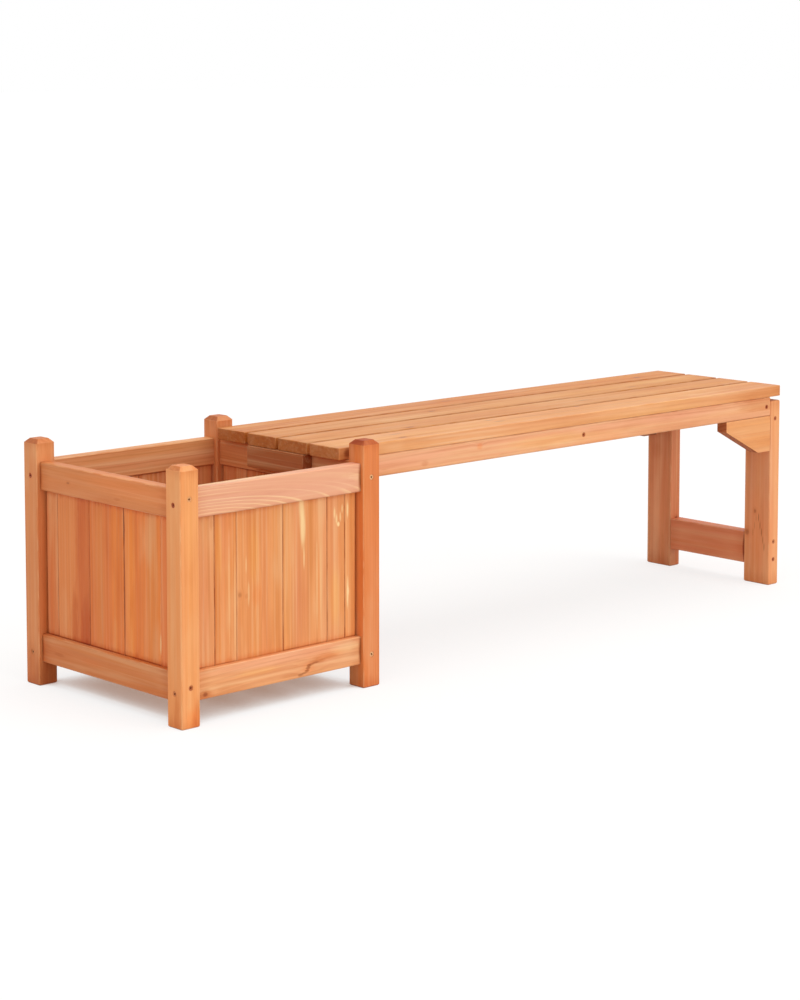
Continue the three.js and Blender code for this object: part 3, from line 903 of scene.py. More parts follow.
def post_screws(node):
    """Where a post's screws go in: places on its two outer faces, and the way each one points."""
    low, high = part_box(node)
    middle = middle_of(node)
    out_x = -1.0 if "_end" in node else 1.0
    out_y = -1.0 if "_front" in node else 1.0
    lift = out_x * screw_stagger
    face_x = low.x if out_x < 0 else high.x
    face_y = low.y if out_y < 0 else high.y
    found = []
    for z in screw_lines:
        found.append((Vector((face_x, middle.y, z + lift)), Vector((-out_x, 0.0, 0.0))))
        found.append((Vector((middle.x, face_y, z - lift)), Vector((0.0, -out_y, 0.0))))
    return found


# %% Posts
post_facts = {
    "planter_post_front_end": {
        "base": "#f1a060",
        "ends": {"-x": 0.55, "-y": 0.0, "+x": 0.5, "+y": 0.3, "end": 0.0},
        "marks": [
            # This warm tint over the whole -x face is painted shade: the warmer colour this shaded side
            # takes on.
            Mark("hot", "-x", 0.5, 0.5, 0.030, 14.0, 0.28),
            Mark("hot", "-y", 0.02, 0.6, 0.018, 1.6, 0.7, 0.8),
            Mark("deep", "-y", 0.03, 0.85, 0.008, 5.0, 0.8, 0.8),
            Mark("deep", "-x", 0.04, 0.35, 0.008, 6.0, 0.6, 0.8),
            Mark("light", "-y", 0.78, 0.5, 0.016, 5.0, 0.8, 0.3),
        ],
    },
    "planter_post_front_bench": {
        "base": "#e58549",
        "ends": {"-x": 1.0, "-y": 0.7, "+x": 0.7, "+y": 0.8, "end": 0.8},
        "marks": [Mark("deep", "-x", 1.0, 0.5, 0.018, 0.5)],
    },
    "planter_post_back_end": {
        "base": "#e08d55",
        "ends": {"-x": 0.8, "-y": 0.2, "+x": 0.6, "+y": 0.6, "end": 0.35},
        "marks": [
            Mark("deep", "-y", 0.38, 0.62, 0.016, 12.0, 0.8, 0.3),
            Mark("light", "-y", 0.97, 0.5, 0.034, 1.3, 1.0),
            Mark("deep", "-x", 0.06, 0.5, 0.022, 2.4, 0.75, 0.6),
            Mark("deep", "-y", 0.03, 0.6, 0.026, 1.8, 0.9, 0.4),
        ],
    },
    "planter_post_back_bench": {
        "base": "#e08d55",
        "ends": {"-x": 0.8, "-y": 0.3, "+x": 0.6, "+y": 0.6, "end": 0.35},
    },
}
usual_post = {
    "rings": 0.22, "ring_width": 0.0062, "bands": 0.4, "lines": 0.15, "soak": 0.6, "soak_length": 0.022,
}
for post_name, facts in post_facts.items():
    post_base = facts.pop("base")
    screws = [place for place, aim in post_screws(post_name)]
    timber(post_name, "z", "post_timber", post_base, post_round, screws=screws, **usual_post, **facts)
print("posts", len(post_facts))

# %% [markdown]
# ## Planter rails
# The rails are flat-sawn, so their faces show long waves where the rings come out at a low angle. The
# front top rail has the liveliest one: cream arches on a pink ground. Its log's heart is placed just
# under the rail's left end, with a strong taper, so that the rings come out as long low arches. Plain
# stain quiets them on the right half. The bottom rail has a small knot and a crooked check, drawn as a
# trail of marks that join.

# %% A trail of small marks
def trail(look, face, points, *rest):
    """Marks along a crooked line. The points are shares along the grain and over the face."""
    return [Mark(look, face, along, over, *rest) for along, over in points]


# %% Rails
rail_round = 0.0007
rail_facts = {
    "planter_top_rail_front": {
        "base": "#e9a684", "late": "#fcd6a4", "heart": (-0.150, -0.011, -0.0305), "taper": 0.154,
        "ring_width": 0.0058, "late_share": 0.34, "wander": 0.007,
        "rings": 1.0, "bands": 0.3, "lines": 0.3, "soak": 0.2, "rim": 0.3,
        "marks": [
            Mark("plain", "-y", 0.80, 0.42, 0.017, 6.0, 0.6, 1.2),
            Mark("plain", "-y", 0.62, 0.86, 0.022, 9.0, 0.85, 0.6),
            # The thin dark band at the rail's end, by the post, is painted shade in the joint.
            Mark("check_and_contact_shade", "-y", 1.0, 0.5, 0.030, 0.2, 0.9, 0.2),
        ],
    },
    "planter_bottom_rail_front": {
        "base": "#eda66f", "heart": (0.05, -0.02, -0.045), "taper": 0.12,
        "ring_width": 0.009, "wander": 0.012, "rings": 0.45, "bands": 0.6, "soak": 0.45,
        "marks": [
            Mark("knot", "-y", 0.043, 0.16, 0.0040, 1.4, 0.7, 0.5, 0.004),
            Mark("deep", "-y", 0.04, 0.1, 0.011, 1.8, 0.8, 0.8),
            Mark("deep", "-y", 0.19, 0.25, 0.0032, 10.0, 0.5, 1.2),
            Mark("golden", "-y", 0.35, 0.55, 0.006, 9.0, 0.7, 0.8),
            Mark("cream", "-y", 0.9, 0.75, 0.009, 4.0, 0.35, 0.8),
            Mark("pink", "-y", 0.5, 0.85, 0.013, 14.0, 1.0, 0.4),
            Mark("light", "-y", 0.3, 0.85, 0.012, 9.0, 0.5, 0.4),
            Mark("deep", "-y", 0.15, 0.0, 0.012, 6.0, 0.6),
            Mark("hot", "-y", 0.665, 0.30, 0.010, 1.8, 0.6, 1.0, 0.006),
            Mark("deep", "-y", 0.72, 0.46, 0.005, 3.5, 0.8, 1.0),
            Mark("deep", "-y", 0.78, 0.55, 0.004, 7.0, 0.6, 1.0),
            Mark("hot", "-y", 0.80, 0.60, 0.007, 6.0, 0.5, 1.0),
            Mark("deep", "-y", 0.56, 0.16, 0.004, 7.0, 0.45, 1.0),
            *trail("check_and_contact_shade", "-y", [(0.615, 0.10), (0.640, 0.14)], 0.0021, 3.0, 0.6, 1.3),
            *trail("check_and_contact_shade", "-y", [(0.655, 0.2), (0.662, 0.29), (0.668, 0.37)], 0.0028, 2.0, 0.75, 1.3),
            *trail("check_and_contact_shade", "-y", [(0.685, 0.40), (0.71, 0.43)], 0.0024, 3.0, 0.5, 1.3),
            # The thin dark band at the rail's end, by the post, is painted shade in the joint.
            Mark("check_and_contact_shade", "-y", 1.0, 0.5, 0.030, 0.2, 0.9, 0.2),
        ],
    },
    "planter_top_rail_end": {
        "base": "#cb7c46", "ring_width": 0.013, "taper": 0.1, "wander": 0.014,
        "rings": 0.12, "bands": 0.2, "lines": 0.1, "soak": 0.5, "rim": 0.1,
        "marks": [
            Mark("knot", "-x", 0.771, 0.46, 0.0022, 1.9, 0.4, 0.9),
            Mark("deep", "-x", 0.386, 0.25, 0.0024, 4.0, 0.5, 0.9),
            Mark("light", "-x", 0.2, 0.2, 0.012, 7.0, 0.6),
            Mark("bright", "-x", 0.5, 0.35, 0.045, 7.0, 0.9, 0.3),
            Mark("bright", "-x", 0.22, 0.8, 0.026, 6.0, 0.6, 0.3),
            # The thin dark band at the rail's end, by the post, is painted shade in the joint.
            Mark("check_and_contact_shade", "-x", 1.0, 0.5, 0.030, 0.2, 0.7, 0.2),
        ],
    },
    "planter_bottom_rail_end": {
        "base": "#d37a40", "ring_width": 0.013, "taper": 0.1, "wander": 0.014,
        "rings": 0.15, "bands": 0.5, "lines": 0.12, "soak": 0.6, "rim": 0.1,
        "marks": [
            Mark("deep", "-x", 0.86, 0.44, 0.0035, 5.0, 0.6, 0.9),
            Mark("hot", "-x", 0.6, 0.5, 0.006, 5.0, 0.4, 0.9),
            Mark("light", "-x", 0.45, 0.58, 0.021, 11.0, 1.0, 0.3),
            # The thin dark band at the rail's end, by the post, is painted shade in the joint.
            Mark("check_and_contact_shade", "-x", 1.0, 0.5, 0.030, 0.2, 0.7, 0.2),
        ],
    },
    "planter_top_rail_back": {"base": "#e09a66", "wander": 0.014},
    "planter_bottom_rail_back": {"base": "#de925a", "wander": 0.014, "soak": 0.45},
    "planter_top_rail_bench": {"base": "#dc8f5a", "wander": 0.014},
    "planter_bottom_rail_bench": {"base": "#da8b54", "wander": 0.014, "soak": 0.45},
}
for rail_name, facts in rail_facts.items():
    rail_grain = "x" if rail_name.endswith(("front", "back")) else "y"
    timber(rail_name, rail_grain, "rail_timber", facts.pop("base"), rail_round, **facts)
print("planter rails", len(rail_facts))

# %% [markdown]
# ## Panel boards
# The panels are narrow boards, tongued and grooved, standing in the rails' grooves. They are cut nearer
# the quarter, so their rings show as upright lines, and each board took the stain its own way: half a
# board is often redder or more golden than the other half. Streaks of sapwood stay pale: a long one on
# the fourth front board, and short ones on the next two. Stain pooled in the joints between the boards,
# and the dark lines along the boards' edges and ends also paint the shade where they meet each other,
# the rails and the posts.

# %% Colours of the boards
board_bases = {
    "front": ["#e69a5d", "#e69052", "#ea995a", "#eb9e63", "#e99a5e", "#f1a460"],
    "end": ["#df8650", "#e78b4e", "#ea8240", "#f08841", "#ec8546"],
    "back": ["#e2935c", "#dd8c57", "#e59a63", "#e0915a"],
    "bench": ["#e0905a", "#e4985f", "#dc8a55", "#e2945e"],
}

# %% Marks on the front boards
board_marks = {
    "planter_board_front_1": [
        Mark("deep", "-y", 0.91, 0.8, 0.004, 3.0, 0.5),
        Mark("rosy", "-y", 0.45, 0.5, 0.009, 14.0, 0.8, 0.35),
    ],
    "planter_board_front_2": [
        Mark("hot", "-y", 0.4, 0.36, 0.0065, 14.0, 0.45, 0.35),
        Mark("cream", "-y", 0.5, 0.62, 0.0021, 50.0, 0.28, 0.7),
        Mark("cream", "-y", 0.35, 0.86, 0.0030, 36.0, 0.28, 0.7),
        Mark("golden", "-y", 0.75, 0.2, 0.008, 7.0),
        Mark("pink", "-y", 0.9, 0.5, 0.016, 5.0, 1.0),
    ],
    "planter_board_front_3": [
        Mark("knot", "-y", 0.438, 0.07, 0.0042, 1.2, 0.38, 1.2, 0.006),
        Mark("deep", "-y", 0.425, 0.2, 0.0045, 1.0, 0.4, 1.4),
        Mark("hot", "-y", 0.42, 0.42, 0.011, 2.0, 0.5, 0.9, 0.004),
        Mark("cream", "-y", 0.62, 0.2, 0.0018, 9.0, 0.35, 0.9),
        Mark("cream", "-y", 0.44, 0.25, 0.0020, 12.0, 0.4, 0.9),
        Mark("golden", "-y", 0.7, 0.35, 0.012, 5.0),
        Mark("tan", "-y", 0.6, 0.85, 0.013, 14.0, 0.3, 0.35),
    ],
    "planter_board_front_4": [
        Mark("cream", "-y", 0.99, 0.41, 0.0068, 9.5, 0.72, 0.25),
        Mark("cream", "-y", 0.79, 0.44, 0.0058, 6.5, 0.75, 0.3),
        Mark("cream", "-y", 0.60, 0.46, 0.0018, 12.0, 0.6),
        Mark("rosy", "-y", 0.35, 0.4, 0.016, 5.0, 0.5),
        Mark("cream", "-y", 0.45, 0.745, 0.0014, 60.0, 0.45, 0.7),
        Mark("cream", "-y", 0.4, 0.83, 0.0014, 60.0, 0.45, 0.7),
        Mark("hot", "-y", 0.4, 0.79, 0.0022, 40.0, 0.4, 0.7),
    ],
    "planter_board_front_5": [
        Mark("cream", "-y", 0.775, 0.6, 0.0034, 1.3, 0.95, 0.6),
        *trail("cream", "-y", [(0.81, 0.5), (0.85, 0.4)], 0.0022, 4.5, 0.7, 0.7),
        *trail("cream", "-y", [(0.82, 0.7), (0.87, 0.8)], 0.0020, 4.5, 0.6, 0.7),
        Mark("hot", "-y", 0.6, 0.6, 0.008, 5.0, 0.35),
        Mark("golden", "-y", 0.3, 0.4, 0.012, 5.0, 0.9),
    ],
    "planter_board_front_6": [
        Mark("cream", "-y", 0.86, 0.27, 0.0024, 7.0, 0.8, 0.8),
        Mark("cream", "-y", 0.32, 0.27, 0.0027, 10.0, 0.85, 0.8),
        Mark("cream", "-y", 0.33, 0.3, 0.0030, 3.0, 0.9, 0.6),
    ],
    "planter_board_end_1": [Mark("hot", "-x", 0.8, 0.5, 0.018, 14.0, 0.5, 0.35)],
    "planter_board_end_2": [
        Mark("deep", "-x", 0.14, 0.5, 0.010, 6.5, 1.0, 0.8),
        Mark("deep", "-x", 0.5, 0.16, 0.029, 14.0, 1.0, 0.35),
        Mark("hot", "-x", 0.5, 0.2, 0.028, 14.0, 0.5, 0.35),
        Mark("deep", "-x", 0.12, 0.14, 0.016, 4.0, 0.9, 0.8),
        Mark("deep", "-x", 0.7, 0.35, 0.010, 6.0, 0.3, 0.8),
        Mark("check_and_contact_shade", "-x", 0.4, 1.0, 0.0024, 34.0, 0.4),
    ],
    "planter_board_end_3": [
        Mark("tan", "-x", 0.5, 0.72, 0.020, 14.0, 0.9, 0.35),
        Mark("golden", "-x", 0.55, 0.25, 0.014, 14.0, 1.0, 0.35),
        Mark("check_and_contact_shade", "-x", 0.1, 1.0, 0.0028, 34.0, 0.6),
    ],
    "planter_board_end_4": [
        Mark("golden", "-x", 0.4, 0.78, 0.015, 14.0, 0.9, 0.35),
        Mark("hot", "-x", 0.5, 0.66, 0.010, 7.0, 0.1),
        Mark("tan", "-x", 0.5, 0.25, 0.018, 14.0, 0.9, 0.35),
        Mark("cream", "-x", 0.16, 0.05, 0.0020, 9.0, 0.6, 0.6),
        Mark("check_and_contact_shade", "-x", 0.45, 1.0, 0.0048, 34.0, 0.9),
        *trail("check_and_contact_shade", "-x", [(0.9, 0.99), (0.83, 0.985), (0.76, 0.99)], 0.0032, 5.0, 0.9),
    ],
}

print("boards with marks", len(board_marks))

# %% Boards
board_round = 0.00025
own_ways = {
    "planter_board_front_3": {"rim": 0.4},
    "planter_board_end_2": {"bands": 0.2},
    "planter_board_end_5": {"rim": 0.2},
}
span_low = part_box("planter_post_front_end")[1]
span_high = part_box("planter_post_back_bench")[0]
across_walls = {"front": 1, "back": 1, "end": 0, "bench": 0}
# The rim and soak on boards are pooled stain, and also painted shade along the joints with the next board,
# the rails and the posts.
usual_board = {
    "taper": 0.05, "wander": 0.009, "ring_width": 0.0075, "rings": 0.3, "bands": 0.6,
    "lines": 0.28, "rim": 0.85, "rim_width": 0.0030, "end_rims": 1.0, "soak": 0.4, "soak_length": 0.010,
}
end_board = {**usual_board, "lines": 0.12, "rim": 1.0, "soak": 0.8}
board_heart_aside = 0.09
board_heart_swing = 0.02
board_heart_along = 0.06


def shown_part(board, wall_axis):
    """The part of a board that shows between the rails and the posts."""
    clear_low = Vector((span_low.x, span_low.y, bottom_rail[1].z))
    clear_high = Vector((span_high.x, span_high.y, top_rail[0].z))
    clear_low[wall_axis], clear_high[wall_axis] = -1.0, 1.0
    low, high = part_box(board)
    return Vector(map(max, low, clear_low)), Vector(map(min, high, clear_high))


def quarter_heart(seed, wall_axis):
    """A heart that lies well to the side of the board, so that the rings cross its face upright."""
    across = board_heart_aside + board_heart_swing * math.sin(seed)
    inward = board_heart_swing * math.sin(seed * 2.0)
    sideways = (across, inward) if wall_axis == 1 else (inward, across)
    return (*sideways, board_heart_along)


for side_name, bases in board_bases.items():
    wall_axis = across_walls[side_name]
    for number, board_base in enumerate(bases, start=1):
        board_name = f"planter_board_{side_name}_{number}"
        board_facts = {
            **(end_board if side_name == "end" else usual_board),
            "shown": shown_part(board_name, wall_axis),
            "heart": quarter_heart(seeds[board_name], wall_axis),
            "marks": board_marks.get(board_name, []),
            **own_ways.get(board_name, {}),
        }
        timber(board_name, "z", "board_timber", board_base, board_round, **board_facts)
print("boards", sum(len(bases) for bases in board_bases.values()))

# %% [markdown]
# ## Planter floor
# The floor is four loose boards on two cleats, with gaps that let water out. Nobody sands or picks
# timber for the inside of a box, so it takes the plainer inner finish and a stronger grain.

# %% Floor boards and cleats
inner_base = "#c98a5a"
floor_round = 0.0015
floor_names = sorted(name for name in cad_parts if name.startswith("planter_floor"))
for floor_name in floor_names:
    floor_grain = "x" if "cleat" in floor_name else "y"
    timber(floor_name, floor_grain, "inner_timber", inner_base, floor_round, by_rule=True, rings=0.6)
print("floor boards and cleats", len(floor_names))

# %% [markdown]
# ## Seat
# Four slats carry the sitter, planed smooth with eased edges. Their top faces are flat-sawn, with long
# fine lines and a few pin knots, and their edges are painted darker for the shade in the gaps between
# them. Two long rails stand on edge below the outer slats, and cross battens tie the slats together
# from below.

# %% Slats
slat_round = 0.0016
slat_bases = ["#e6a061", "#d88f4d", "#d58b49", "#d2813a"]
pin_knot = (0.0046, 2.2, 0.7, 0.5, 0.003)
faint_knot = (0.0040, 4.0, 0.4, 0.5, 0.002)
slat_marks = {
    1: [
        # The light and pink tints lift slat 1's front face to the brightness of its top: painted light.
        Mark("light", "-y", 0.45, 0.45, 0.015, 45.0, 0.8, 0.2),
        Mark("pink", "-y", 0.35, 0.45, 0.015, 40.0, 1.0, 0.2),
        # This dark mark is painted shadow where the slat's front face passes behind the post.
        Mark("check_and_contact_shade", "-y", 0.0174, 0.5, 0.010, 1.0, 0.8, 0.3),
        Mark("deep", "+z", 0.96, 0.3, 0.050, 3.4, 0.5),
        Mark("rosy", "-y", 0.9, 0.4, 0.020, 10.0),
        Mark("knot", "+z", 0.137, 0.215, *pin_knot),
        Mark("knot", "+z", 0.149, 0.677, *faint_knot),
        Mark("knot", "+z", 0.351, 0.75, *faint_knot),
        Mark("knot", "+z", 0.355, 0.466, *faint_knot),
        Mark("knot", "+z", 0.559, 0.96, *pin_knot),
    ],
    2: [Mark("knot", "+z", 0.213, 0.14, *pin_knot), Mark("knot", "+z", 0.62, 0.5, *faint_knot)],
    3: [
        Mark("golden", "+z", 0.85, 0.5, 0.050, 6.0, 0.7),
        Mark("knot", "+z", 0.354, 0.615, *pin_knot),
        Mark("knot", "+z", 0.8, 0.3, *faint_knot),
    ],
    4: [
        Mark("golden", "+z", 0.85, 0.5, 0.050, 6.0, 0.7),
        Mark("knot", "+z", 0.45, 0.6, *faint_knot),
        Mark("knot", "+z", 0.9, 0.4, *pin_knot),
    ],
}
# The slats' rim paints the shade along the gaps between them.
usual_slat = {
    "taper": 0.045, "wander": 0.012, "ring_width": 0.006, "rings": 0.3, "bands": 0.45, "lines": 0.35,
    "rim": 0.6, "rim_width": 0.0045, "soak": 0.35,
}
past_front_edge = Vector((0.0, 0.02, 0.0))


def slat_heart(number):
    """A heart below the slat, which moves from slat to slat so that no two show the same arches."""
    return (0.5 - 0.3 * number, 0.012 * math.sin(number * 2.0), -0.035 - 0.006 * number)


for number, slat_base in enumerate(slat_bases, start=1):
    slat_name = f"seat_slat_{number}"
    slat_low, slat_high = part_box(slat_name)
    if number == 1:
        slat_low -= past_front_edge
    slat_facts = {
        **usual_slat,
        "heart": slat_heart(number),
        "shown": (slat_low, slat_high),
        "marks": slat_marks[number],
    }
    timber(slat_name, "x", "seat_timber", slat_base, slat_round, by_rule=True, **slat_facts)
print("slats", len(slat_bases))

# %% Long rails and battens
seat_rail_round = 0.0007
long_rail_marks = [
    Mark("deep", "-y", 0.143, 0.30, 0.006, 1.6, 0.5, 1.0),
    Mark("hot", "-y", 0.264, 0.71, 0.006, 1.4, 0.8, 1.0, 0.003),
    Mark("rosy", "-y", 0.1, 0.6, 0.014, 9.0, 0.4),
    Mark("rosy", "-y", 0.75, 0.7, 0.014, 8.0, 0.4),
    Mark("golden", "-y", 0.42, 0.5, 0.014, 9.0, 0.7),
    Mark("deep", "-y", 0.98, 0.75, 0.018, 5.0, 0.9, 0.6),
    Mark("hot", "-y", 0.55, 0.25, 0.016, 5.0, 0.4, 0.8),
    # The long thin dark line along the rail's top edge is painted shade under slat 1's edge.
    Mark("check_and_contact_shade", "-y", 0.5, 1.0, 0.0012, 900.0, 0.5, 0.3),
]
usual_long_rail = {
    "heart": (0.1, -0.03, -0.04), "taper": 0.04, "wander": 0.012, "ring_width": 0.007,
    "rings": 0.4, "bands": 0.55, "lines": 0.35, "rim": 0.25,
}
long_rail_facts = {
    "seat_rail_front": {"base": "#efab7c", "marks": long_rail_marks},
    "seat_rail_back": {"base": "#d08a56"},
}
for rail_name, facts in long_rail_facts.items():
    timber(rail_name, "x", "seat_timber", facts.pop("base"), seat_rail_round, **usual_long_rail, **facts)
batten_base = "#b46c40"
batten_names = sorted(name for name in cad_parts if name.startswith("batten"))
for batten_name in batten_names:
    timber(batten_name, "y", "inner_timber", batten_base, floor_round, by_rule=True, rings=0.6)
print("long rails and battens", len(long_rail_facts) + len(batten_names))

# %% [markdown]
# ## Leg frame
# Two legs, a stretcher low down and a bar at the top stand under the far end. Brackets cut from the
# same plank brace the corner between a leg and its long rail. The front leg has two knots near the
# stretcher with a forked check between them, and the back leg has one.

# %% Legs, stretcher, bar and brackets
leg_round = 0.0007
fork_right = [(0.36, 0.42), (0.32, 0.36), (0.28, 0.30), (0.24, 0.24), (0.205, 0.19)]
fork_left = [(0.355, 0.52), (0.315, 0.58), (0.275, 0.64)]
leg_facts = {
    "leg_front": {
        "base": "#ee9e65", "heart": (0.02, 0.0, 0.12),
        "marks": [
            Mark("hot", "-x", 0.30, 0.45, 0.034, 2.6, 0.55, 0.4),
            Mark("deep", "-x", 0.36, 0.30, 0.007, 7.0, 0.35, 0.7),
            Mark("pink", "-x", 0.5, 0.5, 0.040, 6.0, 1.0),
            Mark("knot", "-x", 0.392, 0.57, 0.0032, 1.4, 0.5, 0.5, 0.006),
            Mark("knot", "-x", 0.272, 0.88, 0.0062, 1.1, 0.55, 0.5, 0.005),
            *trail("check_and_contact_shade", "-x", fork_right, 0.0014, 7.0, 0.6, 0.7),
            *trail("check_and_contact_shade", "-x", fork_left, 0.0013, 7.0, 0.3, 0.7),
        ],
    },
    "leg_back": {
        "base": "#d68356", "heart": (0.03, 0.01, 0.3),
        "marks": [
            Mark("knot", "-y", 0.266, 0.62, 0.0040, 1.2, 0.9, 0.5, 0.003),
            Mark("bright", "-x", 0.5, 0.5, 0.035, 5.0),
            Mark("light", "-x", 0.2, 0.75, 0.030, 3.4, 1.0, 0.3),
            Mark("deep", "-x", 0.64, 0.6, 0.018, 1.2, 0.45, 0.9),
            # These two marks at the top of the back leg paint the shade under the seat.
            Mark("deep", "-x", 0.93, 0.5, 0.030, 0.9, 0.9, 0.6),
            Mark("deep", "-y", 0.93, 0.5, 0.020, 1.2, 0.8, 0.6),
        ],
    },
}
usual_leg = {
    "ring_width": 0.012, "taper": 0.1, "wander": 0.012,
    "rings": 0.2, "bands": 0.4, "lines": 0.25, "soak": 0.55,
}
for leg_name, facts in leg_facts.items():
    timber(leg_name, "z", "leg_timber", facts.pop("base"), leg_round, **usual_leg, **facts)
# The dark band at the stretcher's front end is painted shade where it meets the front leg.
stretcher_marks = [Mark("check_and_contact_shade", "-x", 0.0, 0.5, 0.030, 0.12, 0.9, 0.2)]
stretcher = {
    "ring_width": 0.02, "rings": 0.15, "bands": 0.35, "lines": 0.15, "soak": 0.5, "marks": stretcher_marks,
}
timber("leg_stretcher", "y", "leg_timber", "#e7885b", leg_round, **stretcher)
timber("leg_top_bar", "y", "leg_timber", "#c27044", leg_round, ring_width=0.009)
bracket_round = 0.0009
# Faces that slope across the grain count as end grain, so the brackets' sloped undersides come out dark:
# end-grain stain, and also painted shade under them.
bracket = {
    "ring_width": 0.010, "rings": 0.3, "bands": 0.35, "lines": 0.2, "ends": {"end": 1.0, "from": 0.3},
}
timber("bracket_front", "x", "leg_timber", "#eb9f63", bracket_round, **bracket)
# The back bracket's darker base paints the shade it stands in under the seat.
timber("bracket_back", "x", "leg_timber", "#a85a38", bracket_round, **bracket)
print("timbers dressed", len(dressed))

# %% [markdown]
# ## Screws
# Small countersunk screws hold it all: two in each outer face of a post, three in each leg, two in each
# long rail, and one up through each batten into each slat, but only two in the hooked batten. They differ
# in length alone, so Geometry Nodes build one screw and copy it to a list of points. Each point carries
# the way its screw is driven, and a random turn with a fixed seed leaves the crossed slots at the angles
# where the driver stopped. A point also carries how bright and how stained its screw is.

# %% One screw
screw_inputs = {
    "Geometry": GEOMETRY,
    "Head Radius": 0.004,
    "Head Depth": 0.0026,
    "Shank Radius": 0.002,
    "Length": 0.03,
    "Slot Length": 0.0046,
    "Slot Width": 0.0010,
    "Slot Depth": 0.0016,
    "Recess Radius": 0.0014,
    "Seed": 5,
    "Material": MATERIAL,
}
s, given, gives = new_group("screw_set", "GeometryNodeTree", screw_inputs, {"Geometry": GEOMETRY})
screw_tree = s
round_points = 28
recess_points = 16
shank_inside_head = 0.98
shank_start = 0.001
slot_cutter_depths = 2.0
recess_cutter_depths = 2.4
quarter_turn = math.pi / 2


def combine(tree, operation, others, first=None):
    """Joins meshes to one body or cuts them out of the first one."""
    feeds = {} if first is None else {"Mesh 1": first}
    made = add_node(tree, "GeometryNodeMeshBoolean", feeds, operation=operation, solver="MANIFOLD")
    for other in others:
        tree.links.new(other, made.inputs["Mesh 2"])
    return made.outputs[0]


head = add_node(s, "GeometryNodeMeshCone", {
    "Vertices": round_points,
    "Radius Top": given["Shank Radius"],
    "Radius Bottom": given["Head Radius"],
    "Depth": given["Head Depth"],
}).outputs["Mesh"]
shank = add_node(s, "GeometryNodeMeshCylinder", {
    "Vertices": round_points,
    "Radius": calc(s, "MULTIPLY", given["Shank Radius"], shank_inside_head),
    "Depth": given["Length"],
}).outputs["Mesh"]
shank_middle = join_xyz(s, z=calc(s, "MULTIPLY_ADD", given["Length"], 0.5, shank_start))
shank = add_node(s, "GeometryNodeTransform", {"Geometry": shank, "Translation": shank_middle}).outputs[0]
slot_height = calc(s, "MULTIPLY", given["Slot Depth"], slot_cutter_depths)
slot_size = join_xyz(s, x=given["Slot Length"], y=given["Slot Width"], z=slot_height)
slot = add_node(s, "GeometryNodeMeshCube", {"Size": slot_size}).outputs["Mesh"]
crossed_feeds = {"Geometry": slot, "Rotation": (0.0, 0.0, quarter_turn)}
crossed = add_node(s, "GeometryNodeTransform", crossed_feeds).outputs[0]
recess = add_node(s, "GeometryNodeMeshCylinder", {
    "Vertices": recess_points,
    "Radius": given["Recess Radius"],
    "Depth": calc(s, "MULTIPLY", given["Slot Depth"], recess_cutter_depths),
}).outputs["Mesh"]
body = combine(s, "UNION", [head, shank])
screw = combine(s, "DIFFERENCE", [slot, crossed, recess], body)
here = add_node(s, "GeometryNodeInputPosition").outputs[0]
depth = add_node(s, "ShaderNodeSeparateXYZ", {0: here}).outputs["Z"]
sunk_feeds = {"Geometry": screw, "Name": "sunk", "Value": calc(s, "DIVIDE", depth, given["Slot Depth"])}
screw = add_node(s, "GeometryNodeStoreNamedAttribute", sunk_feeds, data_type="FLOAT", domain="POINT")

# %% Many places
aim = add_node(s, "GeometryNodeInputNamedAttribute", {"Name": "aim"}, data_type="FLOAT_VECTOR").outputs[0]
turned = add_node(s, "FunctionNodeAlignRotationToVector", {"Vector": aim}, axis="Z").outputs[0]
spin_feeds = {3: quarter_turn, "Seed": given["Seed"]}
spin = add_node(s, "FunctionNodeRandomValue", spin_feeds, data_type="FLOAT").outputs[1]
spin = add_node(s, "FunctionNodeEulerToRotation", {0: join_xyz(s, z=spin)}).outputs[0]
turned = add_node(s, "FunctionNodeRotateRotation", {0: turned, 1: spin}, rotation_space="LOCAL").outputs[0]
copies = add_node(s, "GeometryNodeInstanceOnPoints", {
    "Points": given["Geometry"],
    "Instance": screw.outputs[0],
    "Rotation": turned,
}).outputs[0]
plain = add_node(s, "GeometryNodeRealizeInstances", {"Geometry": copies}).outputs[0]
plain = add_node(s, "GeometryNodeSetMaterial", {"Geometry": plain, "Material": given["Material"]}).outputs[0]
s.links.new(plain, gives["Geometry"])
print("the screw tree has", len(s.nodes), "nodes")

# %% [markdown]
# ### Yellow zinc and stain
# Cheap outdoor screws have a yellow coat of zinc, dulled by the driver. The slots hold shade and dirt:
# the tree stored how deep each point lies, and the material darkens there. Stain ran over most heads. A
# thin film of it leaves them the timber's orange, and a thick one makes them a dull red-brown.

# %% Screw steel
bright_zinc, dull_zinc = colour("#f6cf9e"), colour("#dfb184")
thin_film, thick_film = colour("#e59c60"), colour("#b2542f")
# The slot colour paints the shade in the slots as well as their dirt.
slot_dirt_and_shade = colour("#8a4820")
scuffs_per_metre = 900.0
scuff_depth = 0.0001
scuff_strength = 0.2
dirt_roughness = 0.3
steel_specular = 0.2


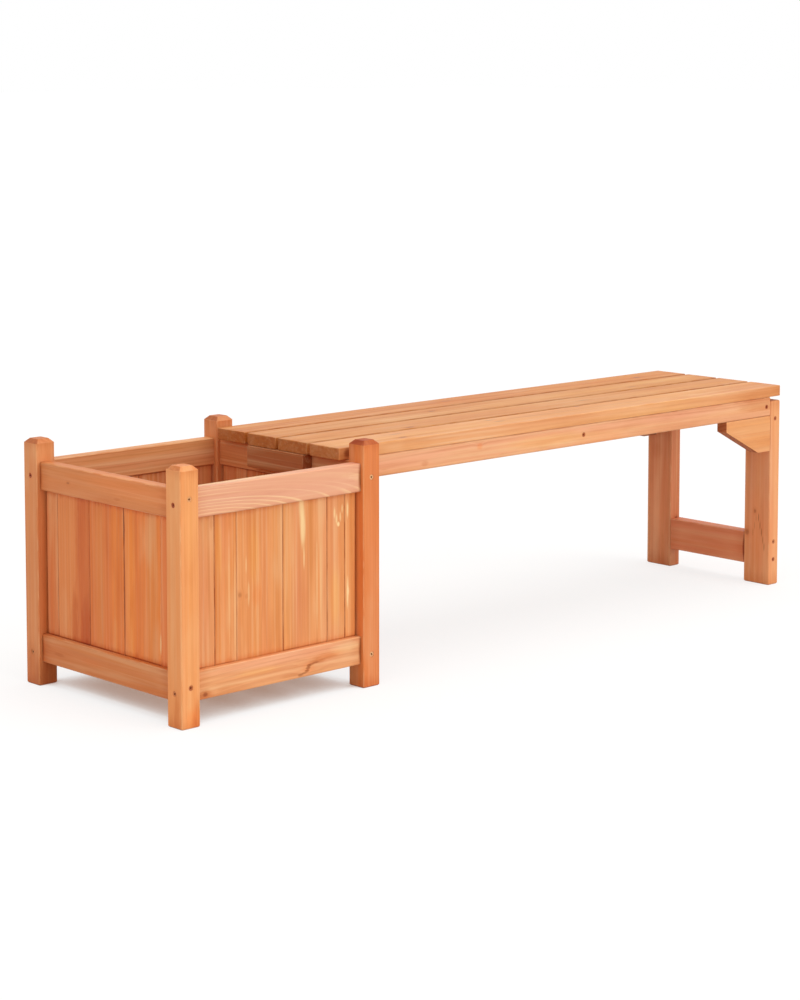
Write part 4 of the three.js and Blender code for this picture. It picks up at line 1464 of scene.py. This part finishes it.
def screw_material():
    """Steel that is bright or stained, and darker in its slots for dirt and painted shade, as the numbers
    stored on the mesh say.
    """
    material, tree = new_material("zinc_steel")
    here = add_node(tree, "ShaderNodeTexCoord").outputs["Object"]
    scuff_feeds = {"Vector": here, "Scale": scuffs_per_metre, "Detail": 3.0}
    scuffs = add_node(tree, "ShaderNodeTexNoise", scuff_feeds).outputs[0]
    dirt_and_shade = ramp(tree, attribute(tree, "sunk"), 0.05, 0.6)
    zinc = lay_over(tree, ramp(tree, scuffs, 0.35, 0.7), bright_zinc, dull_zinc)
    clean = attribute(tree, "shine")
    stained = lay_over(tree, attribute(tree, "stain"), thin_film, thick_film)
    mixed = lay_over(tree, clean, stained, zinc)
    mixed = lay_over(tree, dirt_and_shade, mixed, slot_dirt_and_shade)
    roughness = ramp(tree, scuffs, 0.3, 0.7, 0.28, 0.5)
    roughness = calc(tree, "MULTIPLY_ADD", dirt_and_shade, dirt_roughness, roughness)
    bump_feeds = {"Height": scuffs, "Strength": scuff_strength, "Distance": scuff_depth}
    shader = add_node(tree, "ShaderNodeBsdfPrincipled", {
        "Base Color": mixed,
        "Metallic": calc(tree, "MULTIPLY", calc(tree, "SUBTRACT", 1.0, dirt_and_shade), clean),
        "Roughness": roughness,
        "Normal": add_node(tree, "ShaderNodeBump", bump_feeds).outputs[0],
        "Specular IOR Level": steel_specular,
    })
    add_node(tree, "ShaderNodeOutputMaterial", {"Surface": shader.outputs[0]})
    return material


steel = screw_material()
print("steel", steel.name)

# %% Where the screws go
head_sink = 0.0006
head_proud = 0.00015
batten_end_clear = 0.014
leg_nodes = ["screw_leg_top", "screw_leg_upper", "screw_leg_lower"]
rail_nodes = ["screw_rail_middle", "screw_rail_end"]
crossing_battens = ["batten_near", "batten_middle", "batten_bracket", "batten_leg"]


def mirrored(nodes):
    """The places of CAD screws at the front, and the same places at the back."""
    found = []
    for node in nodes:
        front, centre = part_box(node)[0].y, middle_of(node)
        found.append((Vector((centre.x, front, centre.z)), Vector((0.0, 1.0, 0.0))))
        found.append((Vector((centre.x, -front, centre.z)), Vector((0.0, -1.0, 0.0))))
    return found


def from_below(batten, number):
    """Where a screw goes up through a batten into a slat, clear of the batten's ends."""
    low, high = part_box(batten)
    y = middle_of(f"seat_slat_{number}").y
    y = max(low.y + batten_end_clear, min(high.y - batten_end_clear, y))
    return Vector((middle_of(batten).x, y, low.z - head_proud)), Vector((0.0, 0.0, 1.0))


post_places = []
for post_name in post_facts:
    post_places += [(place + head_sink * aim, aim) for place, aim in post_screws(post_name)]
slat_places = [from_below(batten, number) for batten in crossing_battens for number in (1, 2, 3, 4)]
slat_places += [from_below("batten_hook", number) for number in (2, 3)]
print("screws in posts", len(post_places), "and in slats", len(slat_places))

# %% Drive the screws
screw_lengths = {"post_screws": 0.050, "leg_screws": 0.075, "rail_screws": 0.045, "slat_screws": 0.030}
post_shine = [0.0, 0.2, 0.0, 0.0, 0.5, 0.5, 0.5, 0.5, 0.0, 0.3, 0.0, 0.3, 0.5, 0.4, 0.6, 0.5]
post_stain = [1.0, 0.1, 0.5, 0.8, 0.3, 0.0, 0.3, 0.0, 1.0, 0.3, 0.4, 0.3, 0.3, 0.2, 0.2, 0.3]
leg_stain = [0.8, 0.8, 0.6, 0.6, 0.8, 0.8]
rail_stain = [0.8, 0.8, 1.0, 1.0]
slat_shine = [0.7] * len(slat_places)
slat_stain = [0.3] * len(slat_places)


def drive_screws(name, places, nodes, shine, stain):
    """One mesh of screws at the given places, each as bright and as stained as the lists say."""
    points = bpy.data.meshes.new(name)
    points.from_pydata([place for place, aim in places], [], [])
    aims = points.attributes.new("aim", "FLOAT_VECTOR", "POINT")
    for i, (place, aim) in enumerate(places):
        aims.data[i].vector = aim
    points.attributes.new("shine", "FLOAT", "POINT").data.foreach_set("value", shine)
    points.attributes.new("stain", "FLOAT", "POINT").data.foreach_set("value", stain)
    values = {"Length": screw_lengths[name], "Material": steel}
    piece = from_tree(name, screw_tree, values, points)
    finish_piece(piece, nodes, steel)
    print(name, len(places), "screws,", len(piece.data.polygons), "faces")


drive_screws("post_screws", post_places, ["screw_post_bottom"], post_shine, post_stain)
drive_screws("leg_screws", mirrored(leg_nodes), leg_nodes, [0.0] * 6, leg_stain)
drive_screws("rail_screws", mirrored(rail_nodes), rail_nodes, [0.0] * 4, rail_stain)
drive_screws("slat_screws", slat_places, [], slat_shine, slat_stain)
